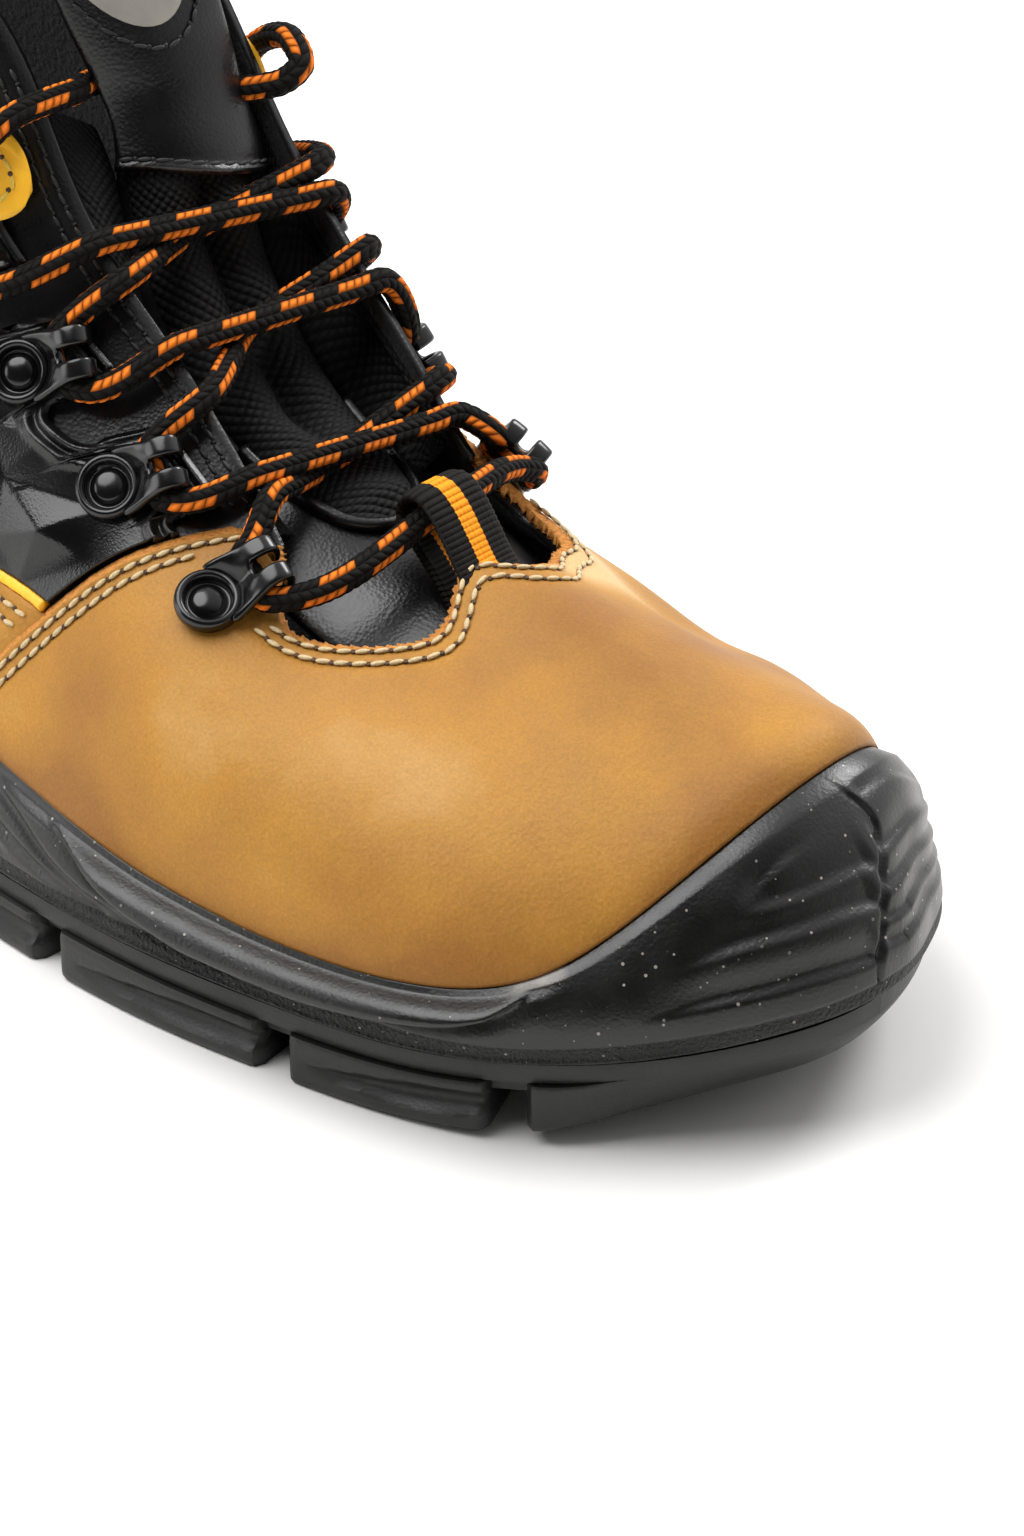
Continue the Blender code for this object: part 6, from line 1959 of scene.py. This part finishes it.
class SHOE_OT_loop(bpy.types.Operator):
    """Makes the ribbed loop at the throat."""

    bl_idname = "shoe.loop"
    bl_label = "Webbing loop"

    def execute(self, context):
        return made(build_loop, context.scene)


class SHOE_OT_tabs(bpy.types.Operator):
    """Makes the two yellow tabs."""

    bl_idname = "shoe.tabs"
    bl_label = "Tabs"

    def execute(self, context):
        return made(build_tabs, context.scene)


class SHOE_OT_stitching(bpy.types.Operator):
    """Sews all the rows of thread."""

    bl_idname = "shoe.stitching"
    bl_label = "Stitching"

    def execute(self, context):
        return made(build_stitching, context.scene)


class SHOE_OT_stage(bpy.types.Operator):
    """Sets the floor, the lights and the camera."""

    bl_idname = "shoe.stage"
    bl_label = "Stage"

    def execute(self, context):
        return made(build_stage, context.scene)


OPERATORS = [SHOE_OT_outsole, SHOE_OT_midsole, SHOE_OT_insole, SHOE_OT_upper, SHOE_OT_vamp,
             SHOE_OT_counter, SHOE_OT_quarters, SHOE_OT_tongue, SHOE_OT_patch, SHOE_OT_hooks,
             SHOE_OT_lace, SHOE_OT_loop, SHOE_OT_tabs, SHOE_OT_stitching, SHOE_OT_stage]


class SHOE_PT_looks(bpy.types.Panel):
    """Lists the shoe's pieces, sizes and colours."""

    bl_label = "Safety shoe"
    bl_idname = "SHOE_PT_looks"
    bl_space_type = "VIEW_3D"
    bl_region_type = "UI"
    bl_category = "Shoe"

    def draw(self, context):
        for operator in OPERATORS:
            self.layout.operator(operator.bl_idname)
        for group in (context.scene.shoe_sizes, context.scene.shoe_colours):
            box = self.layout.box()
            for name in group.__annotations__:
                box.prop(group, name)


CLASSES = [ShoeSizes, ShoeColours, *OPERATORS, SHOE_PT_looks]


def register():
    for cls in CLASSES:
        bpy.utils.register_class(cls)
    bpy.types.Scene.shoe_sizes = PointerProperty(type=ShoeSizes)
    bpy.types.Scene.shoe_colours = PointerProperty(type=ShoeColours)


def unregister():
    del bpy.types.Scene.shoe_colours
    del bpy.types.Scene.shoe_sizes
    for cls in reversed(CLASSES):
        bpy.utils.unregister_class(cls)


def main():
    """Registers the add-on, and makes every piece and the stage."""
    register()
    for operator in OPERATORS:
        getattr(bpy.ops.shoe, operator.bl_idname.split(".")[1])()
    bpy.context.view_layer.update()


if __name__ == "__main__":
    main()
